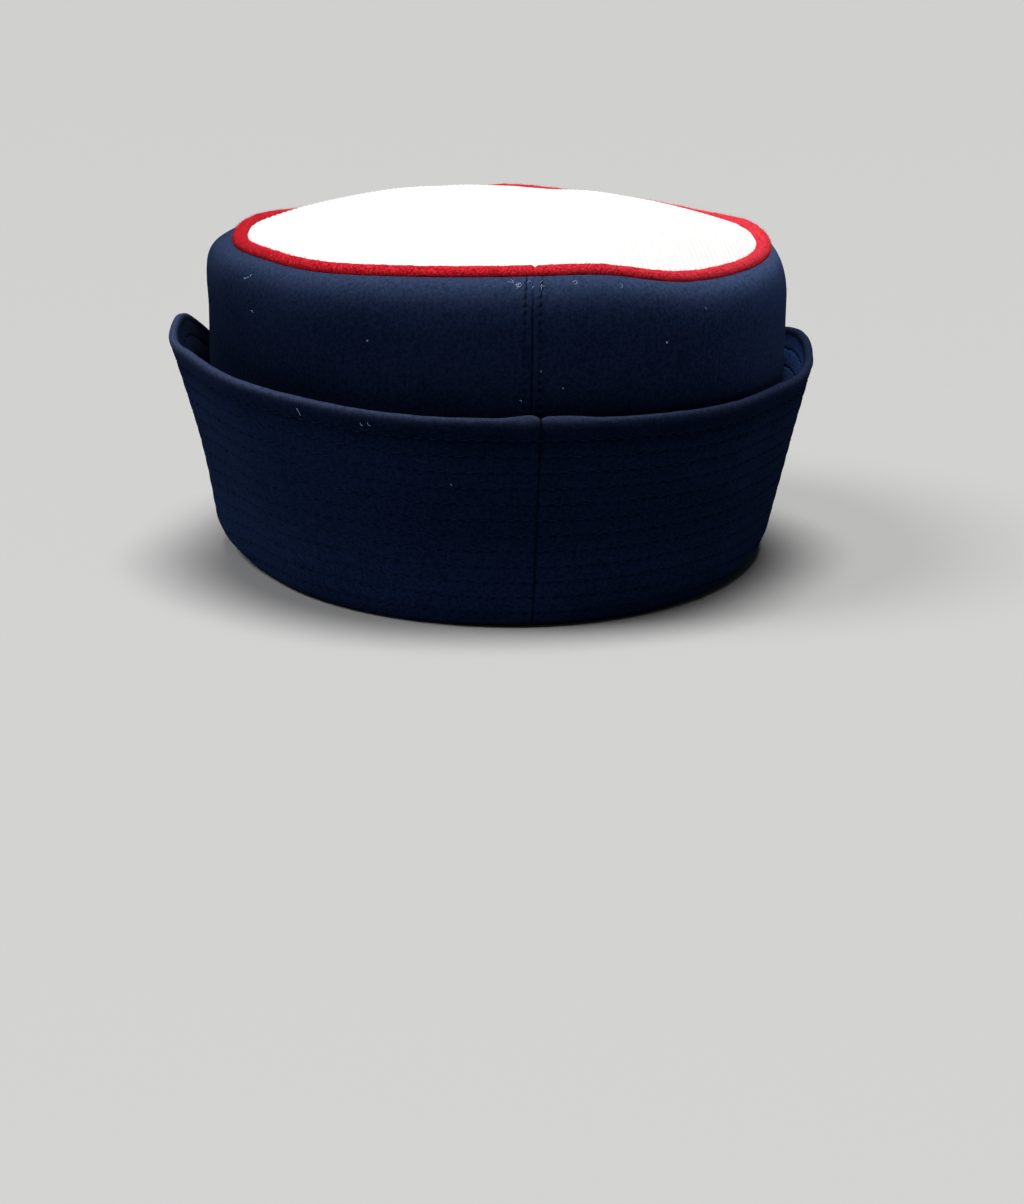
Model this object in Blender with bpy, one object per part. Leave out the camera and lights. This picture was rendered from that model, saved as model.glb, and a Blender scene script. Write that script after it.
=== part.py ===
"""Tricorn hat: a navy crown band, a white top panel, red piping between them, and a brim turned up around it.

Metres, +Z up. The hat rests at z = 0 on the fold of its brim, with the front point towards -Y and the centre
back towards +Y, so the wearer's left is +X. The middle of its bounding box's underside is the origin.
Angles around the hat are counted in degrees from the centre back towards the wearer's left.
"""

import math
from collections import namedtuple

import bmesh
import bpy
import numpy as np
from mathutils import Vector

# Head opening, the inside of the hat at the fold: 56 cm around.
HEAD_HALF_WIDTH = 0.0799
HEAD_HALF_LENGTH = 0.0970

# Crown band, to its outside, which stands out over the head opening. Its top sits a little towards the
# wearer's right.
SIDE_OVERHANG = 0.0208
END_OVERHANG = 0.0163
CROWN_HALF_WIDTH = HEAD_HALF_WIDTH + SIDE_OVERHANG
CROWN_HALF_LENGTH = HEAD_HALF_LENGTH + END_OVERHANG
CROWN_WALL = 0.0022
CROWN_POWER = 2.2
FLARE_TOP = 0.072
SHOULDER_RUN = 0.0098
SHOULDER_DROP = 0.0165
SHOULDER_TURN = 72.0
TOP_SHIFT = 0.0014

# Fullness of the crown band's shoulder on the wearer's left: how far it stands out, where it is and how far it
# reaches around, in degrees.
FULLNESS = 0.0026
FULLNESS_AT = 92.0
FULLNESS_SPREAD = 32.0
FULLNESS_POWER = 4.5

# Piping, whose middle lies at the crown's height. The crown band meets it on its outer side and the top panel
# on its inner side, each at a turn in degrees up from level.
CROWN_HEIGHT = 0.1132
PIPING_DIAMETER = 0.0048
CROWN_MEETS_AT = -17.0
PANEL_MEETS_AT = 17.0
WAVE_HEIGHT = 0.0031

# Top panel, whose dome is a little fuller on the wearer's left and fuller at the back.
PANEL_WALL = 0.0018
DOME_HEIGHT = 0.0148
DOME_POWER = 2.4
DOME_LEAN = 0.09
DOME_BACK_LEAN = 0.30

# Brim, measured outwards from its fold and up from the surface that the hat rests on. It stands clear of the
# crown.
BRIM_WALL = 0.0026
BRIM_SEAT = 0.0037
BRIM_STANDOFF = 0.0112
BRIM_REACH = SIDE_OVERHANG + BRIM_STANDOFF
BRIM_RISE = 0.0850
FOLD_RADIUS = 0.0180
RIM_ROLL = 0.0036

# Gap between pieces that are sewn together.
CLEARANCE = 0.0003

# Facets around the hat and along its sections.
AROUND = 80
FLARE_STEPS = 4
WALL_STEPS = 2
SHOULDER_STEPS = 5
FOLD_STEPS = 4
SLANT_STEPS = 3
ROLL_STEPS = 6
PANEL_SHARES = (0.12, 0.36, 0.58, 0.77, 0.91, 1.0)
SHARP_EDGE = 50.0

BrimRow = namedtuple("BrimRow", "angle reach rise fold")
WaveRow = namedtuple("WaveRow", "angle lift")

# Sections of the brim: reach, rise and fold as shares of BRIM_REACH, BRIM_RISE and FOLD_RADIUS.
BRIM_ROWS = [
    BrimRow(angle=0, reach=0.625, rise=0.868, fold=0.31),
    BrimRow(angle=20, reach=0.755, rise=0.867, fold=0.31),
    BrimRow(angle=38, reach=0.88, rise=0.891, fold=0.31),
    BrimRow(angle=54, reach=0.95, rise=0.918, fold=0.31),
    BrimRow(angle=68, reach=0.97, rise=0.951, fold=0.34),
    BrimRow(angle=80, reach=1.005, rise=0.962, fold=0.60),
    BrimRow(angle=92, reach=0.875, rise=1.008, fold=0.90),
    BrimRow(angle=106, reach=0.735, rise=0.88, fold=1.00),
    BrimRow(angle=122, reach=0.72, rise=0.70, fold=0.90),
    BrimRow(angle=140, reach=0.75, rise=0.55, fold=0.80),
    BrimRow(angle=152, reach=0.90, rise=0.475, fold=0.70),
    BrimRow(angle=165, reach=1.22, rise=0.405, fold=0.60),
    BrimRow(angle=173, reach=1.52, rise=0.37, fold=0.60),
    BrimRow(angle=180, reach=1.74, rise=0.36, fold=0.60),
    BrimRow(angle=187, reach=1.52, rise=0.37, fold=0.60),
    BrimRow(angle=195, reach=1.22, rise=0.405, fold=0.60),
    BrimRow(angle=208, reach=0.90, rise=0.475, fold=0.70),
    BrimRow(angle=220, reach=0.75, rise=0.55, fold=0.80),
    BrimRow(angle=238, reach=0.72, rise=0.70, fold=0.90),
    BrimRow(angle=254, reach=0.755, rise=0.86, fold=1.00),
    BrimRow(angle=268, reach=0.865, rise=0.912, fold=1.00),
    BrimRow(angle=280, reach=0.87, rise=0.868, fold=0.78),
    BrimRow(angle=292, reach=0.81, rise=0.85, fold=0.56),
    BrimRow(angle=306, reach=0.74, rise=0.853, fold=0.41),
    BrimRow(angle=322, reach=0.72, rise=0.852, fold=0.31),
    BrimRow(angle=340, reach=0.67, rise=0.858, fold=0.31),
]

# Waves in the seam around the top: lift as a share of WAVE_HEIGHT.
WAVE_ROWS = [
    WaveRow(angle=0, lift=1.00),
    WaveRow(angle=25, lift=0.65),
    WaveRow(angle=45, lift=0.22),
    WaveRow(angle=65, lift=0.28),
    WaveRow(angle=90, lift=-0.21),
    WaveRow(angle=115, lift=-0.30),
    WaveRow(angle=145, lift=-1.10),
    WaveRow(angle=158, lift=-0.58),
    WaveRow(angle=172, lift=-0.10),
    WaveRow(angle=180, lift=0.45),
    WaveRow(angle=187, lift=0.75),
    WaveRow(angle=196, lift=0.45),
    WaveRow(angle=210, lift=-0.05),
    WaveRow(angle=225, lift=-0.33),
    WaveRow(angle=240, lift=-0.52),
    WaveRow(angle=252, lift=-0.30),
    WaveRow(angle=265, lift=0.04),
    WaveRow(angle=290, lift=-0.23),
    WaveRow(angle=310, lift=-0.49),
    WaveRow(angle=330, lift=-0.36),
    WaveRow(angle=348, lift=1.00),
]


def around_angles():
    """Return the angles in degrees of the facets' corners around the hat."""
    return [360.0 * k / AROUND for k in range(AROUND)]


def read_rows(rows, column, angle):
    """Return one column of a table of rows at an angle, on a smooth curve that closes around the hat."""
    turn = [row.angle for row in rows]
    value = [getattr(row, column) for row in rows]
    count = len(rows)
    place = angle % 360.0
    here = max(k for k in range(count) if turn[k] <= place)

    def node(k):
        lap, index = divmod(k, count)
        return turn[index] + 360.0 * lap, value[index]

    (t0, v0), (t1, v1), (t2, v2), (t3, v3) = (node(here + step) for step in (-1, 0, 1, 2))
    span = t2 - t1
    u = (place - t1) / span
    slope_1 = (v2 - v0) / (t2 - t0) * span
    slope_2 = (v3 - v1) / (t3 - t1) * span
    return ((2 * u**3 - 3 * u**2 + 1) * v1 + (u**3 - 2 * u**2 + u) * slope_1
            + (3 * u**2 - 2 * u**3) * v2 + (u**3 - u**2) * slope_2)


def oval(angle, half_width, half_length, power=2.0):
    """Return the point of a superellipse at an angle from the centre back."""
    turn = math.radians(angle)
    share = 2.0 / power
    x = half_width * math.copysign(abs(math.sin(turn)) ** share, math.sin(turn))
    y = half_length * math.copysign(abs(math.cos(turn)) ** share, math.cos(turn))
    return Vector((x, y))


def oval_outward(angle, half_width, half_length):
    """Return the outward unit normal of an ellipse at an angle from the centre back."""
    turn = math.radians(angle)
    return Vector((math.sin(turn) / half_width, math.cos(turn) / half_length)).normalized()


def wave(angle):
    """Return how far the seam around the top is lifted at an angle."""
    return WAVE_HEIGHT * read_rows(WAVE_ROWS, "lift", angle)


def brim_section(reach, rise, fold):
    """Return the brim's closed section as (out, up) from its fold, without the two points of its seat.

    It runs along the outside from the fold to the rolled rim and comes back along the inside.
    """
    half_wall = BRIM_WALL / 2
    roll = RIM_ROLL / 2
    top = Vector((reach, rise - roll))
    middle = Vector((0.0, fold))
    to_top = top - middle
    lean = math.atan2(to_top.y, to_top.x) + math.asin(fold / to_top.length)
    along = Vector((math.cos(lean), math.sin(lean)))
    outward = Vector((along.y, -along.x))
    roll_middle = top - outward * half_wall
    neck = math.sqrt(roll**2 - half_wall**2)

    def fold_arc(radius, steps):
        turns = [lean * k / steps for k in range(steps + 1)]
        return [middle + radius * Vector((math.sin(turn), -math.cos(turn))) for turn in turns]

    def straight(start, end, steps):
        return [start.lerp(end, k / steps) for k in range(1, steps)]

    outer = fold_arc(fold, FOLD_STEPS)
    inner = fold_arc(fold - BRIM_WALL, FOLD_STEPS)
    outer_neck = roll_middle + outward * half_wall - along * neck
    inner_neck = roll_middle - outward * half_wall - along * neck
    start = math.atan2(half_wall, -neck)
    roll_arc = []
    for k in range(ROLL_STEPS + 1):
        turn = start * (1 - 2 * k / ROLL_STEPS)
        roll_arc.append(roll_middle + roll * (along * math.cos(turn) + outward * math.sin(turn)))
    return (outer + straight(outer[-1], outer_neck, SLANT_STEPS) + roll_arc
            + straight(inner_neck, inner[-1], SLANT_STEPS) + inner[::-1])


def brim_rings():
    """Return the rings of the brim, each running around the hat at one place in its section."""
    fold_half_width = HEAD_HALF_WIDTH + BRIM_SEAT
    fold_half_length = HEAD_HALF_LENGTH + BRIM_SEAT
    sections = []
    for angle in around_angles():
        seat = oval(angle, HEAD_HALF_WIDTH, HEAD_HALF_LENGTH)
        root = oval(angle, fold_half_width, fold_half_length)
        outward = oval_outward(angle, fold_half_width, fold_half_length)
        profile = brim_section(BRIM_REACH * read_rows(BRIM_ROWS, "reach", angle),
                               BRIM_RISE * read_rows(BRIM_ROWS, "rise", angle),
                               FOLD_RADIUS * read_rows(BRIM_ROWS, "fold", angle))
        points = [Vector((*(root + outward * point.x), point.y)) for point in profile]
        sections.append([Vector((*seat, 0.0)), *points, Vector((*seat, BRIM_WALL))])
    return [list(ring) for ring in zip(*sections)]


def fullness(angle, rise):
    """Return how far the crown band's shoulder stands out at an angle and a share of its wall's rise."""
    around = math.exp(-(((angle - FULLNESS_AT) / FULLNESS_SPREAD) ** 2))
    return FULLNESS * around * math.sin(math.pi * rise**FULLNESS_POWER)


def beside_piping(turn):
    """Return the point just clear of the piping as (out, up) from its middle, at a turn up from level."""
    return (PIPING_DIAMETER / 2 + CLEARANCE) * Vector((math.cos(turn), math.sin(turn)))


def crown_profile():
    """Return the levels of the crown band's outside, from its foot to the piping.

    Each level is its share of the flare, its step inwards and its height.
    """
    foot = BRIM_WALL + CLEARANCE
    seam = beside_piping(math.radians(CROWN_MEETS_AT))
    seam_in = SHOULDER_RUN - seam.x
    seam_up = CROWN_HEIGHT + seam.y
    shoulder_foot = seam_up - SHOULDER_DROP
    levels = []
    for k in range(FLARE_STEPS + 1):
        rise = k / FLARE_STEPS
        levels.append((rise**2 * (3 - 2 * rise), 0.0, foot + (FLARE_TOP - foot) * rise))
    for k in range(1, WALL_STEPS + 1):
        levels.append((1.0, 0.0, FLARE_TOP + (shoulder_foot - FLARE_TOP) * k / WALL_STEPS))
    last_turn = math.radians(SHOULDER_TURN)
    for k in range(1, SHOULDER_STEPS + 1):
        turn = last_turn * k / SHOULDER_STEPS
        step_in = seam_in * (1 - math.cos(turn)) / (1 - math.cos(last_turn))
        step_up = SHOULDER_DROP * math.sin(turn) / math.sin(last_turn)
        levels.append((1.0, step_in, shoulder_foot + step_up))
    return levels


def crown_rings():
    """Return the rings of the crown band: up its outside, then down its inside."""
    foot_half_width = HEAD_HALF_WIDTH + CROWN_WALL
    foot_half_length = HEAD_HALF_LENGTH + CROWN_WALL
    levels = crown_profile()
    seam_turn = math.radians(CROWN_MEETS_AT)
    wall_turn = 2 * math.asin(CROWN_WALL / 2 / beside_piping(0.0).x)
    rings = {"outer": [], "inner": []}
    widths = [foot_half_width + (CROWN_HALF_WIDTH - foot_half_width) * flare - step_in
              for flare, step_in, _ in levels]
    lengths = [foot_half_length + (CROWN_HALF_LENGTH - foot_half_length) * flare - step_in
               for flare, step_in, _ in levels]
    heights = [height for _, _, height in levels]
    mean_radii = [(width + length) / 2 for width, length in zip(widths, lengths)]
    for k, (flare, step_in, height) in enumerate(levels):
        before, after = max(k - 1, 0), min(k + 1, len(levels) - 1)
        run = Vector((mean_radii[after] - mean_radii[before], heights[after] - heights[before])).normalized()
        step = Vector((run.y, -run.x)) * CROWN_WALL
        if k == 0:
            step = Vector((CROWN_WALL, 0.0))
        if k == len(levels) - 1:
            step = beside_piping(seam_turn) - beside_piping(seam_turn - wall_turn)
        power = 2.0 + (CROWN_POWER - 2.0) * flare
        wave_share = max(0.0, (height - FLARE_TOP) / (heights[-1] - FLARE_TOP))
        aside = Vector((-TOP_SHIFT * step_in / levels[-1][1], 0.0))
        for side, back in (("outer", 0.0), ("inner", 1.0)):
            ring = []
            for angle in around_angles():
                out = step * (fullness(angle, wave_share) / CROWN_WALL - back)
                place = oval(angle, widths[k] + out.x, lengths[k] + out.x, power) + aside
                ring.append(Vector((*place, height + out.y + wave(angle) * wave_share)))
            rings[side].append(ring)
    return rings["outer"] + rings["inner"][::-1]


def piping_path():
    """Return the points of the piping's middle."""
    points = []
    for angle in around_angles():
        place = oval(angle, CROWN_HALF_WIDTH - SHOULDER_RUN, CROWN_HALF_LENGTH - SHOULDER_RUN, CROWN_POWER)
        points.append(Vector((place.x - TOP_SHIFT, place.y, CROWN_HEIGHT + wave(angle))))
    return points


def panel_rings():
    """Return the rings of the top panel, over its upper side and back along its underside."""
    seam = beside_piping(math.radians(PANEL_MEETS_AT))
    edge_half_width = CROWN_HALF_WIDTH - SHOULDER_RUN - seam.x
    edge_half_length = CROWN_HALF_LENGTH - SHOULDER_RUN - seam.x
    edge_height = CROWN_HEIGHT + seam.y
    upper, under = [], []
    for share in PANEL_SHARES:
        for rings, drop in ((upper, 0.0), (under, PANEL_WALL)):
            ring = []
            for angle in around_angles():
                place = oval(angle, edge_half_width * share, edge_half_length * share, CROWN_POWER)
                turn = math.radians(angle)
                lean = 1 + share * (DOME_LEAN * math.sin(turn) + DOME_BACK_LEAN * math.cos(turn))
                dome = DOME_HEIGHT * (1 - share**DOME_POWER) * lean
                height = edge_height + dome - drop + wave(angle) * share**4
                ring.append(Vector((place.x - TOP_SHIFT, place.y, height)))
            rings.append(ring)
    return upper + under[::-1]


def plan_middle(rings):
    """Return the middle in plan of the box around some rings."""
    corners = np.array([point for ring in rings for point in ring])
    middle = (corners.min(axis=0) + corners.max(axis=0)) / 2
    return Vector((middle[0], middle[1], 0.0))


def make_material(name, color, roughness):
    """Return a plain cloth material."""
    material = bpy.data.materials.new(name)
    material.use_nodes = True
    shader = material.node_tree.nodes["Principled BSDF"]
    shader.inputs["Base Color"].default_value = (*color, 1.0)
    shader.inputs["Roughness"].default_value = roughness
    shader.inputs["Metallic"].default_value = 0.0
    return material


def add_to_hat(obj, collection, material):
    """Give an object its material and put it in the hat's collection."""
    obj.data.materials.append(material)
    collection.objects.link(obj)
    return obj


def loft(name, rings, shift, closed, collection, material):
    """Loft a solid over rings that run around the hat.

    A closed loft joins its last ring to its first. An open one ends in a fan around the middle of each end
    ring.
    """
    bm = bmesh.new()
    loops = [[bm.verts.new(point - shift) for point in ring] for ring in rings]
    pairs = list(zip(loops, loops[1:]))
    if closed:
        pairs.append((loops[-1], loops[0]))
    for lower, upper in pairs:
        for k in range(AROUND):
            after = (k + 1) % AROUND
            bm.faces.new((lower[k], lower[after], upper[after], upper[k]))
    if not closed:
        for loop in (loops[0], loops[-1]):
            middle = bm.verts.new(sum((vert.co for vert in loop), Vector()) / AROUND)
            for k in range(AROUND):
                bm.faces.new((loop[k], loop[(k + 1) % AROUND], middle))
    bmesh.ops.recalc_face_normals(bm, faces=bm.faces)
    mesh = bpy.data.meshes.new(name)
    bm.to_mesh(mesh)
    bm.free()
    mesh.shade_smooth()
    mesh.set_sharp_from_angle(angle=math.radians(SHARP_EDGE))
    return add_to_hat(bpy.data.objects.new(name, mesh), collection, material)


def make_piping(name, points, shift, collection, material):
    """Make the piping as a round tube along a closed path."""
    curve = bpy.data.curves.new(name, "CURVE")
    curve.dimensions = "3D"
    curve.bevel_depth = PIPING_DIAMETER / 2
    curve.bevel_resolution = 3
    spline = curve.splines.new("POLY")
    spline.points.add(len(points) - 1)
    for spline_point, point in zip(spline.points, points):
        spline_point.co = (*(point - shift), 1.0)
    spline.use_cyclic_u = True
    return add_to_hat(bpy.data.objects.new(name, curve), collection, material)


def clear_scene():
    """Remove the scene's objects."""
    for obj in list(bpy.data.objects):
        bpy.data.objects.remove(obj, do_unlink=True)


def main():
    """Build the hat."""
    clear_scene()
    collection = bpy.data.collections.new("tricorn_hat")
    bpy.context.scene.collection.children.link(collection)
    crown_cloth = make_material("crown_cloth", (0.010, 0.015, 0.035), 0.85)
    brim_cloth = make_material("brim_cloth", (0.008, 0.012, 0.030), 0.85)
    white_cloth = make_material("white_cloth", (0.85, 0.84, 0.80), 0.80)
    red_wool = make_material("red_wool", (0.60, 0.02, 0.04), 0.90)

    brim = brim_rings()
    shift = plan_middle(brim)
    loft("brim", brim, shift, True, collection, brim_cloth)
    loft("crown_band", crown_rings(), shift, True, collection, crown_cloth)
    loft("top_panel", panel_rings(), shift, False, collection, white_cloth)
    make_piping("top_piping", piping_path(), shift, collection, red_wool)


main()
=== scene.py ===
"""Looks of a tricorn hat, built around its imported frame.

The hat is navy wool cloth, with a ribbed white top, red wool piping around the top and a quilted brim turned
up on all sides. Metres, +Z up, with the centre back towards +Y and the wearer's left towards +X. Angles
around the hat are in degrees from the centre back towards the wearer's left.
"""

import logging
import math
from dataclasses import dataclass, field
from enum import Enum
from typing import Any, Sequence

import bmesh
import bpy
import numpy as np
from mathutils import Matrix, Vector


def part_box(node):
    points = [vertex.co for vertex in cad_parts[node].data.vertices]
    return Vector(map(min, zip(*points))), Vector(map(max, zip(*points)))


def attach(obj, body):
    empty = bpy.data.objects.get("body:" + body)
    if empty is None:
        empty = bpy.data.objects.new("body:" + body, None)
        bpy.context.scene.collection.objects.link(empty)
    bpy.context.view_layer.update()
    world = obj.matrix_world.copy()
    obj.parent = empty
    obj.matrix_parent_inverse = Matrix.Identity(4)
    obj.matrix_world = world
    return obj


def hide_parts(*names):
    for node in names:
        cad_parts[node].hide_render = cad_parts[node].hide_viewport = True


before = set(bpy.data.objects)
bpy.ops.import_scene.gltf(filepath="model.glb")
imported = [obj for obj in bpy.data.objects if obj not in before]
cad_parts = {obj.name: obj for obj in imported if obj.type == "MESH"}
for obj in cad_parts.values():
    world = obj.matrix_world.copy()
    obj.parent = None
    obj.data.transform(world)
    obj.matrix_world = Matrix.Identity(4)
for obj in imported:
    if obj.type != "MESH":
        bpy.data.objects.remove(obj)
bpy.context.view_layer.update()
MM = 0.001

log = logging.getLogger("tricorn_hat")

Color = tuple[float, float, float]
Array = np.ndarray
Pair = tuple[Array, Array]


class Slot(Enum):
    """Material slots of the hat's record."""

    CROWN = "crown_cloth"
    BRIM = "brim_cloth"
    WHITE = "white_cloth"
    RED = "red_wool"


class Side(Enum):
    """The two faces of the brim's wall, with the sign of the face's normal across the wall."""

    OUTSIDE = 1
    INSIDE = -1


@dataclass(frozen=True)
class BrimRow:
    """A section of the brim: reach, rise and fold as shares of the brim's own sizes."""

    angle: float
    reach: float
    rise: float
    fold: float


@dataclass(frozen=True)
class WaveRow:
    """A place on the seam around the top, with its lift as a share of the wave's height."""

    angle: float
    lift: float


@dataclass(frozen=True)
class Fluff:
    """A bit of lint: its angle and share of the way up on a cloth, its length in mm and how far it curls."""

    angle: float
    share: float
    length: float
    curl: float


# Columns: angle, reach, rise, fold.
BRIM_ROWS = [BrimRow(*row) for row in (
    (0, 0.625, 0.853, 0.31),
    (20, 0.755, 0.861, 0.31),
    (38, 0.88, 0.886, 0.31),
    (54, 0.95, 0.911, 0.31),
    (68, 0.97, 0.946, 0.34),
    (80, 1.005, 0.962, 0.60),
    (92, 0.875, 1.008, 0.90),
    (106, 0.735, 0.88, 1.00),
    (122, 0.72, 0.70, 0.90),
    (140, 0.75, 0.55, 0.80),
    (152, 0.90, 0.475, 0.70),
    (165, 1.22, 0.405, 0.60),
    (173, 1.52, 0.37, 0.60),
    (180, 1.74, 0.36, 0.60),
    (187, 1.52, 0.37, 0.60),
    (195, 1.22, 0.405, 0.60),
    (208, 0.90, 0.475, 0.70),
    (220, 0.75, 0.55, 0.80),
    (238, 0.72, 0.70, 0.90),
    (254, 0.755, 0.86, 1.00),
    (268, 0.865, 0.912, 1.00),
    (280, 0.87, 0.868, 0.78),
    (292, 0.81, 0.844, 0.56),
    (306, 0.74, 0.844, 0.41),
    (322, 0.72, 0.8405, 0.31),
    (340, 0.67, 0.845, 0.31),
)]

# Columns: angle, lift.
WAVE_ROWS = [WaveRow(*row) for row in (
    (0, 1.00),
    (25, 0.65),
    (45, 0.22),
    (65, 0.28),
    (90, -0.21),
    (115, -0.30),
    (145, -1.10),
    (158, -0.58),
    (172, -0.10),
    (180, 0.45),
    (187, 0.75),
    (196, 0.45),
    (210, -0.05),
    (225, -0.33),
    (240, -0.52),
    (252, -0.30),
    (265, 0.04),
    (290, -0.23),
    (310, -0.49),
    (330, -0.36),
    (348, 1.00),
)]

# Columns: angle, share, length, curl.
CROWN_FLUFF = [Fluff(*row) for row in (
    (2.75, 0.936, 1.8, 0.5),
    (2.62, 0.930, 1.8, -0.5),
    (2.10, 0.928, 5.2, 6.4),
    (2.45, 0.924, 1.6, -0.8),
    (1.60, 0.930, 1.0, 0.8),
    (1.55, 0.900, 1.4, -1.4),
    (0.55, 0.928, 1.6, 2.0),
    (-0.90, 0.930, 1.8, -0.8),
    (-1.10, 0.910, 1.9, 1.1),
    (-1.75, 0.905, 1.5, 2.8),
    (-0.35, 0.900, 1.1, -2.0),
    (-6.40, 0.922, 3.2, 4.8),
    (-15.0, 0.880, 2.4, -2.2),
    (60.2, 0.855, 1.2, 0.9),
    (60.5, 0.835, 3.2, 0.5),
    (61.6, 0.815, 1.4, -1.6),
    (57.7, 0.648, 1.6, 3.2),
    (27.9, 0.604, 1.3, 4.0),
    (-24.4, 0.601, 1.8, 6.0),
    (-33.9, 0.777, 1.2, -3.0),
    (-1.5, 0.520, 1.2, 2.0),
    (1.30, 0.444, 1.3, 3.5),
    (-4.6, 0.480, 1.3, 1.5),
    (152.0, 0.700, 1.8, 3.0),
    (232.0, 0.820, 1.5, -2.0),
    (281.0, 0.640, 2.0, 3.4),
)]

# Columns: angle, share, length, curl.
BRIM_FLUFF = [Fluff(*row) for row in (
    (14.0, 0.731, 1.2, 3.0),
    (39.7, 0.990, 2.9, 1.2),
    (28.2, 0.985, 1.8, -1.6),
    (26.4, 0.972, 2.4, 2.0),
    (118.0, 0.800, 1.8, 2.0),
    (205.0, 0.600, 1.6, -3.0),
)]


# Numbers and curves


def smoothstep(value: Array, low: float = 0.0, high: float = 1.0) -> Array:
    """Return a smooth step from 0 to 1 between two values."""
    share = np.clip((value - low) / (high - low), 0.0, 1.0)
    return share * share * (3.0 - 2.0 * share)


def hump(distance: Array, width: float) -> Array:
    """Return a bell of height 1 around distance 0, which has faded at twice its width."""
    return np.exp(-((distance / width) ** 2))


def ripple(angles: Array, turns: Sequence[int], seed: int) -> Array:
    """Return an even mix of waves around the hat, between about -1 and 1.

    Args:
        angles: Places around the hat in degrees.
        turns: How many times each wave repeats around the hat.
        seed: Which phases the waves start from.

    Returns:
        The mix at each place.
    """
    phases = np.random.default_rng(seed).uniform(0.0, 2.0 * math.pi, len(turns))
    waves = [np.sin(np.radians(angles) * turn + phase) for turn, phase in zip(turns, phases)]
    return np.sum(waves, axis=0) / math.sqrt(len(turns))


def oval(angles: Array, half_width: Any, half_length: Any, power: Any = 2.0) -> Array:
    """Work out points in plan on a superellipse.

    Args:
        angles: Places around the hat in degrees.
        half_width, half_length: Its half sizes.
        power: Its squareness, 2 for an ellipse.

    Returns:
        One row of two numbers for each angle.
    """
    turn = np.radians(angles)
    share = 2.0 / power
    across = half_width * np.sign(np.sin(turn)) * np.abs(np.sin(turn)) ** share
    along = half_length * np.sign(np.cos(turn)) * np.abs(np.cos(turn)) ** share
    return np.stack((across, along), axis=-1)


def oval_outward(points: Array, half_width: Any, half_length: Any, power: Any = 2.0) -> Array:
    """Work out which way is outwards at points of a superellipse.

    Args:
        points: Points on it in plan.
        half_width, half_length: Its half sizes.
        power: Its squareness.

    Returns:
        The outward unit normals in plan.
    """
    across = np.sign(points[..., 0]) * np.abs(points[..., 0] / half_width) ** (power - 1.0) / half_width
    along = np.sign(points[..., 1]) * np.abs(points[..., 1] / half_length) ** (power - 1.0) / half_length
    normal = np.stack((across, along), axis=-1)
    return normal / np.linalg.norm(normal, axis=-1, keepdims=True)


def with_height(plan: Array, height: Any) -> Array:
    """Return points or directions in plan with a third number."""
    return np.concatenate((plan, np.broadcast_to(height, plan.shape[:-1])[..., None]), axis=-1)


def signed_distance(points: Array) -> Array:
    """Return how far a net's knots are from its first column, above zero towards the wearer's left."""
    side = np.where(np.arange(points.shape[1]) < points.shape[1] / 2, 1.0, -1.0)
    return side * np.linalg.norm(points - points[:, :1], axis=-1)


def crowded_angles(start: float, count: int, crowding: float) -> Array:
    """Return angles once around the hat that stand closest together at the start.

    Args:
        start: The first angle in degrees.
        count: How many steps there are around the hat.
        crowding: From 0 for even steps to nearly 1 for very short ones at the start.

    Returns:
        count + 1 angles, the last of which is the first one again.
    """
    lap = np.linspace(0.0, 1.0, count + 1)
    return start + 360.0 * (lap - crowding * np.sin(2.0 * math.pi * lap) / (2.0 * math.pi))


class RowTable:
    """A table of rows around the hat, read on a smooth curve that closes on itself."""

    def __init__(self, rows: Sequence[Any]) -> None:
        """Keep the rows, which are in order of their angles."""
        self.rows = rows

    def read(self, column: str, angles: Array) -> Array:
        """Read one column of the table.

        Args:
            column: The column's name.
            angles: Places around the hat in degrees.

        Returns:
            The column's smooth value at each place.
        """
        turn = np.array([row.angle for row in self.rows], float)
        value = np.array([getattr(row, column) for row in self.rows], float)
        turn = np.concatenate((turn[-2:] - 360.0, turn, turn[:2] + 360.0))
        value = np.concatenate((value[-2:], value, value[:2]))
        place = np.asarray(angles, float) % 360.0
        here = np.searchsorted(turn, place, side="right") - 1
        span = turn[here + 1] - turn[here]
        u = (place - turn[here]) / span
        slope_1 = (value[here + 1] - value[here - 1]) / (turn[here + 1] - turn[here - 1]) * span
        slope_2 = (value[here + 2] - value[here]) / (turn[here + 2] - turn[here]) * span
        return ((2 * u**3 - 3 * u**2 + 1) * value[here] + (u**3 - 2 * u**2 + u) * slope_1
                + (3 * u**2 - 2 * u**3) * value[here + 1] + (u**3 - u**2) * slope_2)


# Meshes


def put_in_scene(name: str, data: Any) -> bpy.types.Object:
    """Make a new object of the scene at the origin.

    Args:
        name: The object's name.
        data: Its mesh, curve, light or camera.

    Returns:
        The object.
    """
    obj = bpy.data.objects.new(name, data)
    bpy.context.scene.collection.objects.link(obj)
    return obj


def finish_mesh(name: str, bm: bmesh.types.BMesh) -> bpy.types.Object:
    """Make a smooth-shaded object from a bmesh.

    Args:
        name: The piece's name.
        bm: Its shape, which is freed.

    Returns:
        The object.
    """
    mesh = bpy.data.meshes.new(name)
    bm.to_mesh(mesh)
    bm.free()
    mesh.shade_smooth()
    return put_in_scene(name, mesh)


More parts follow.
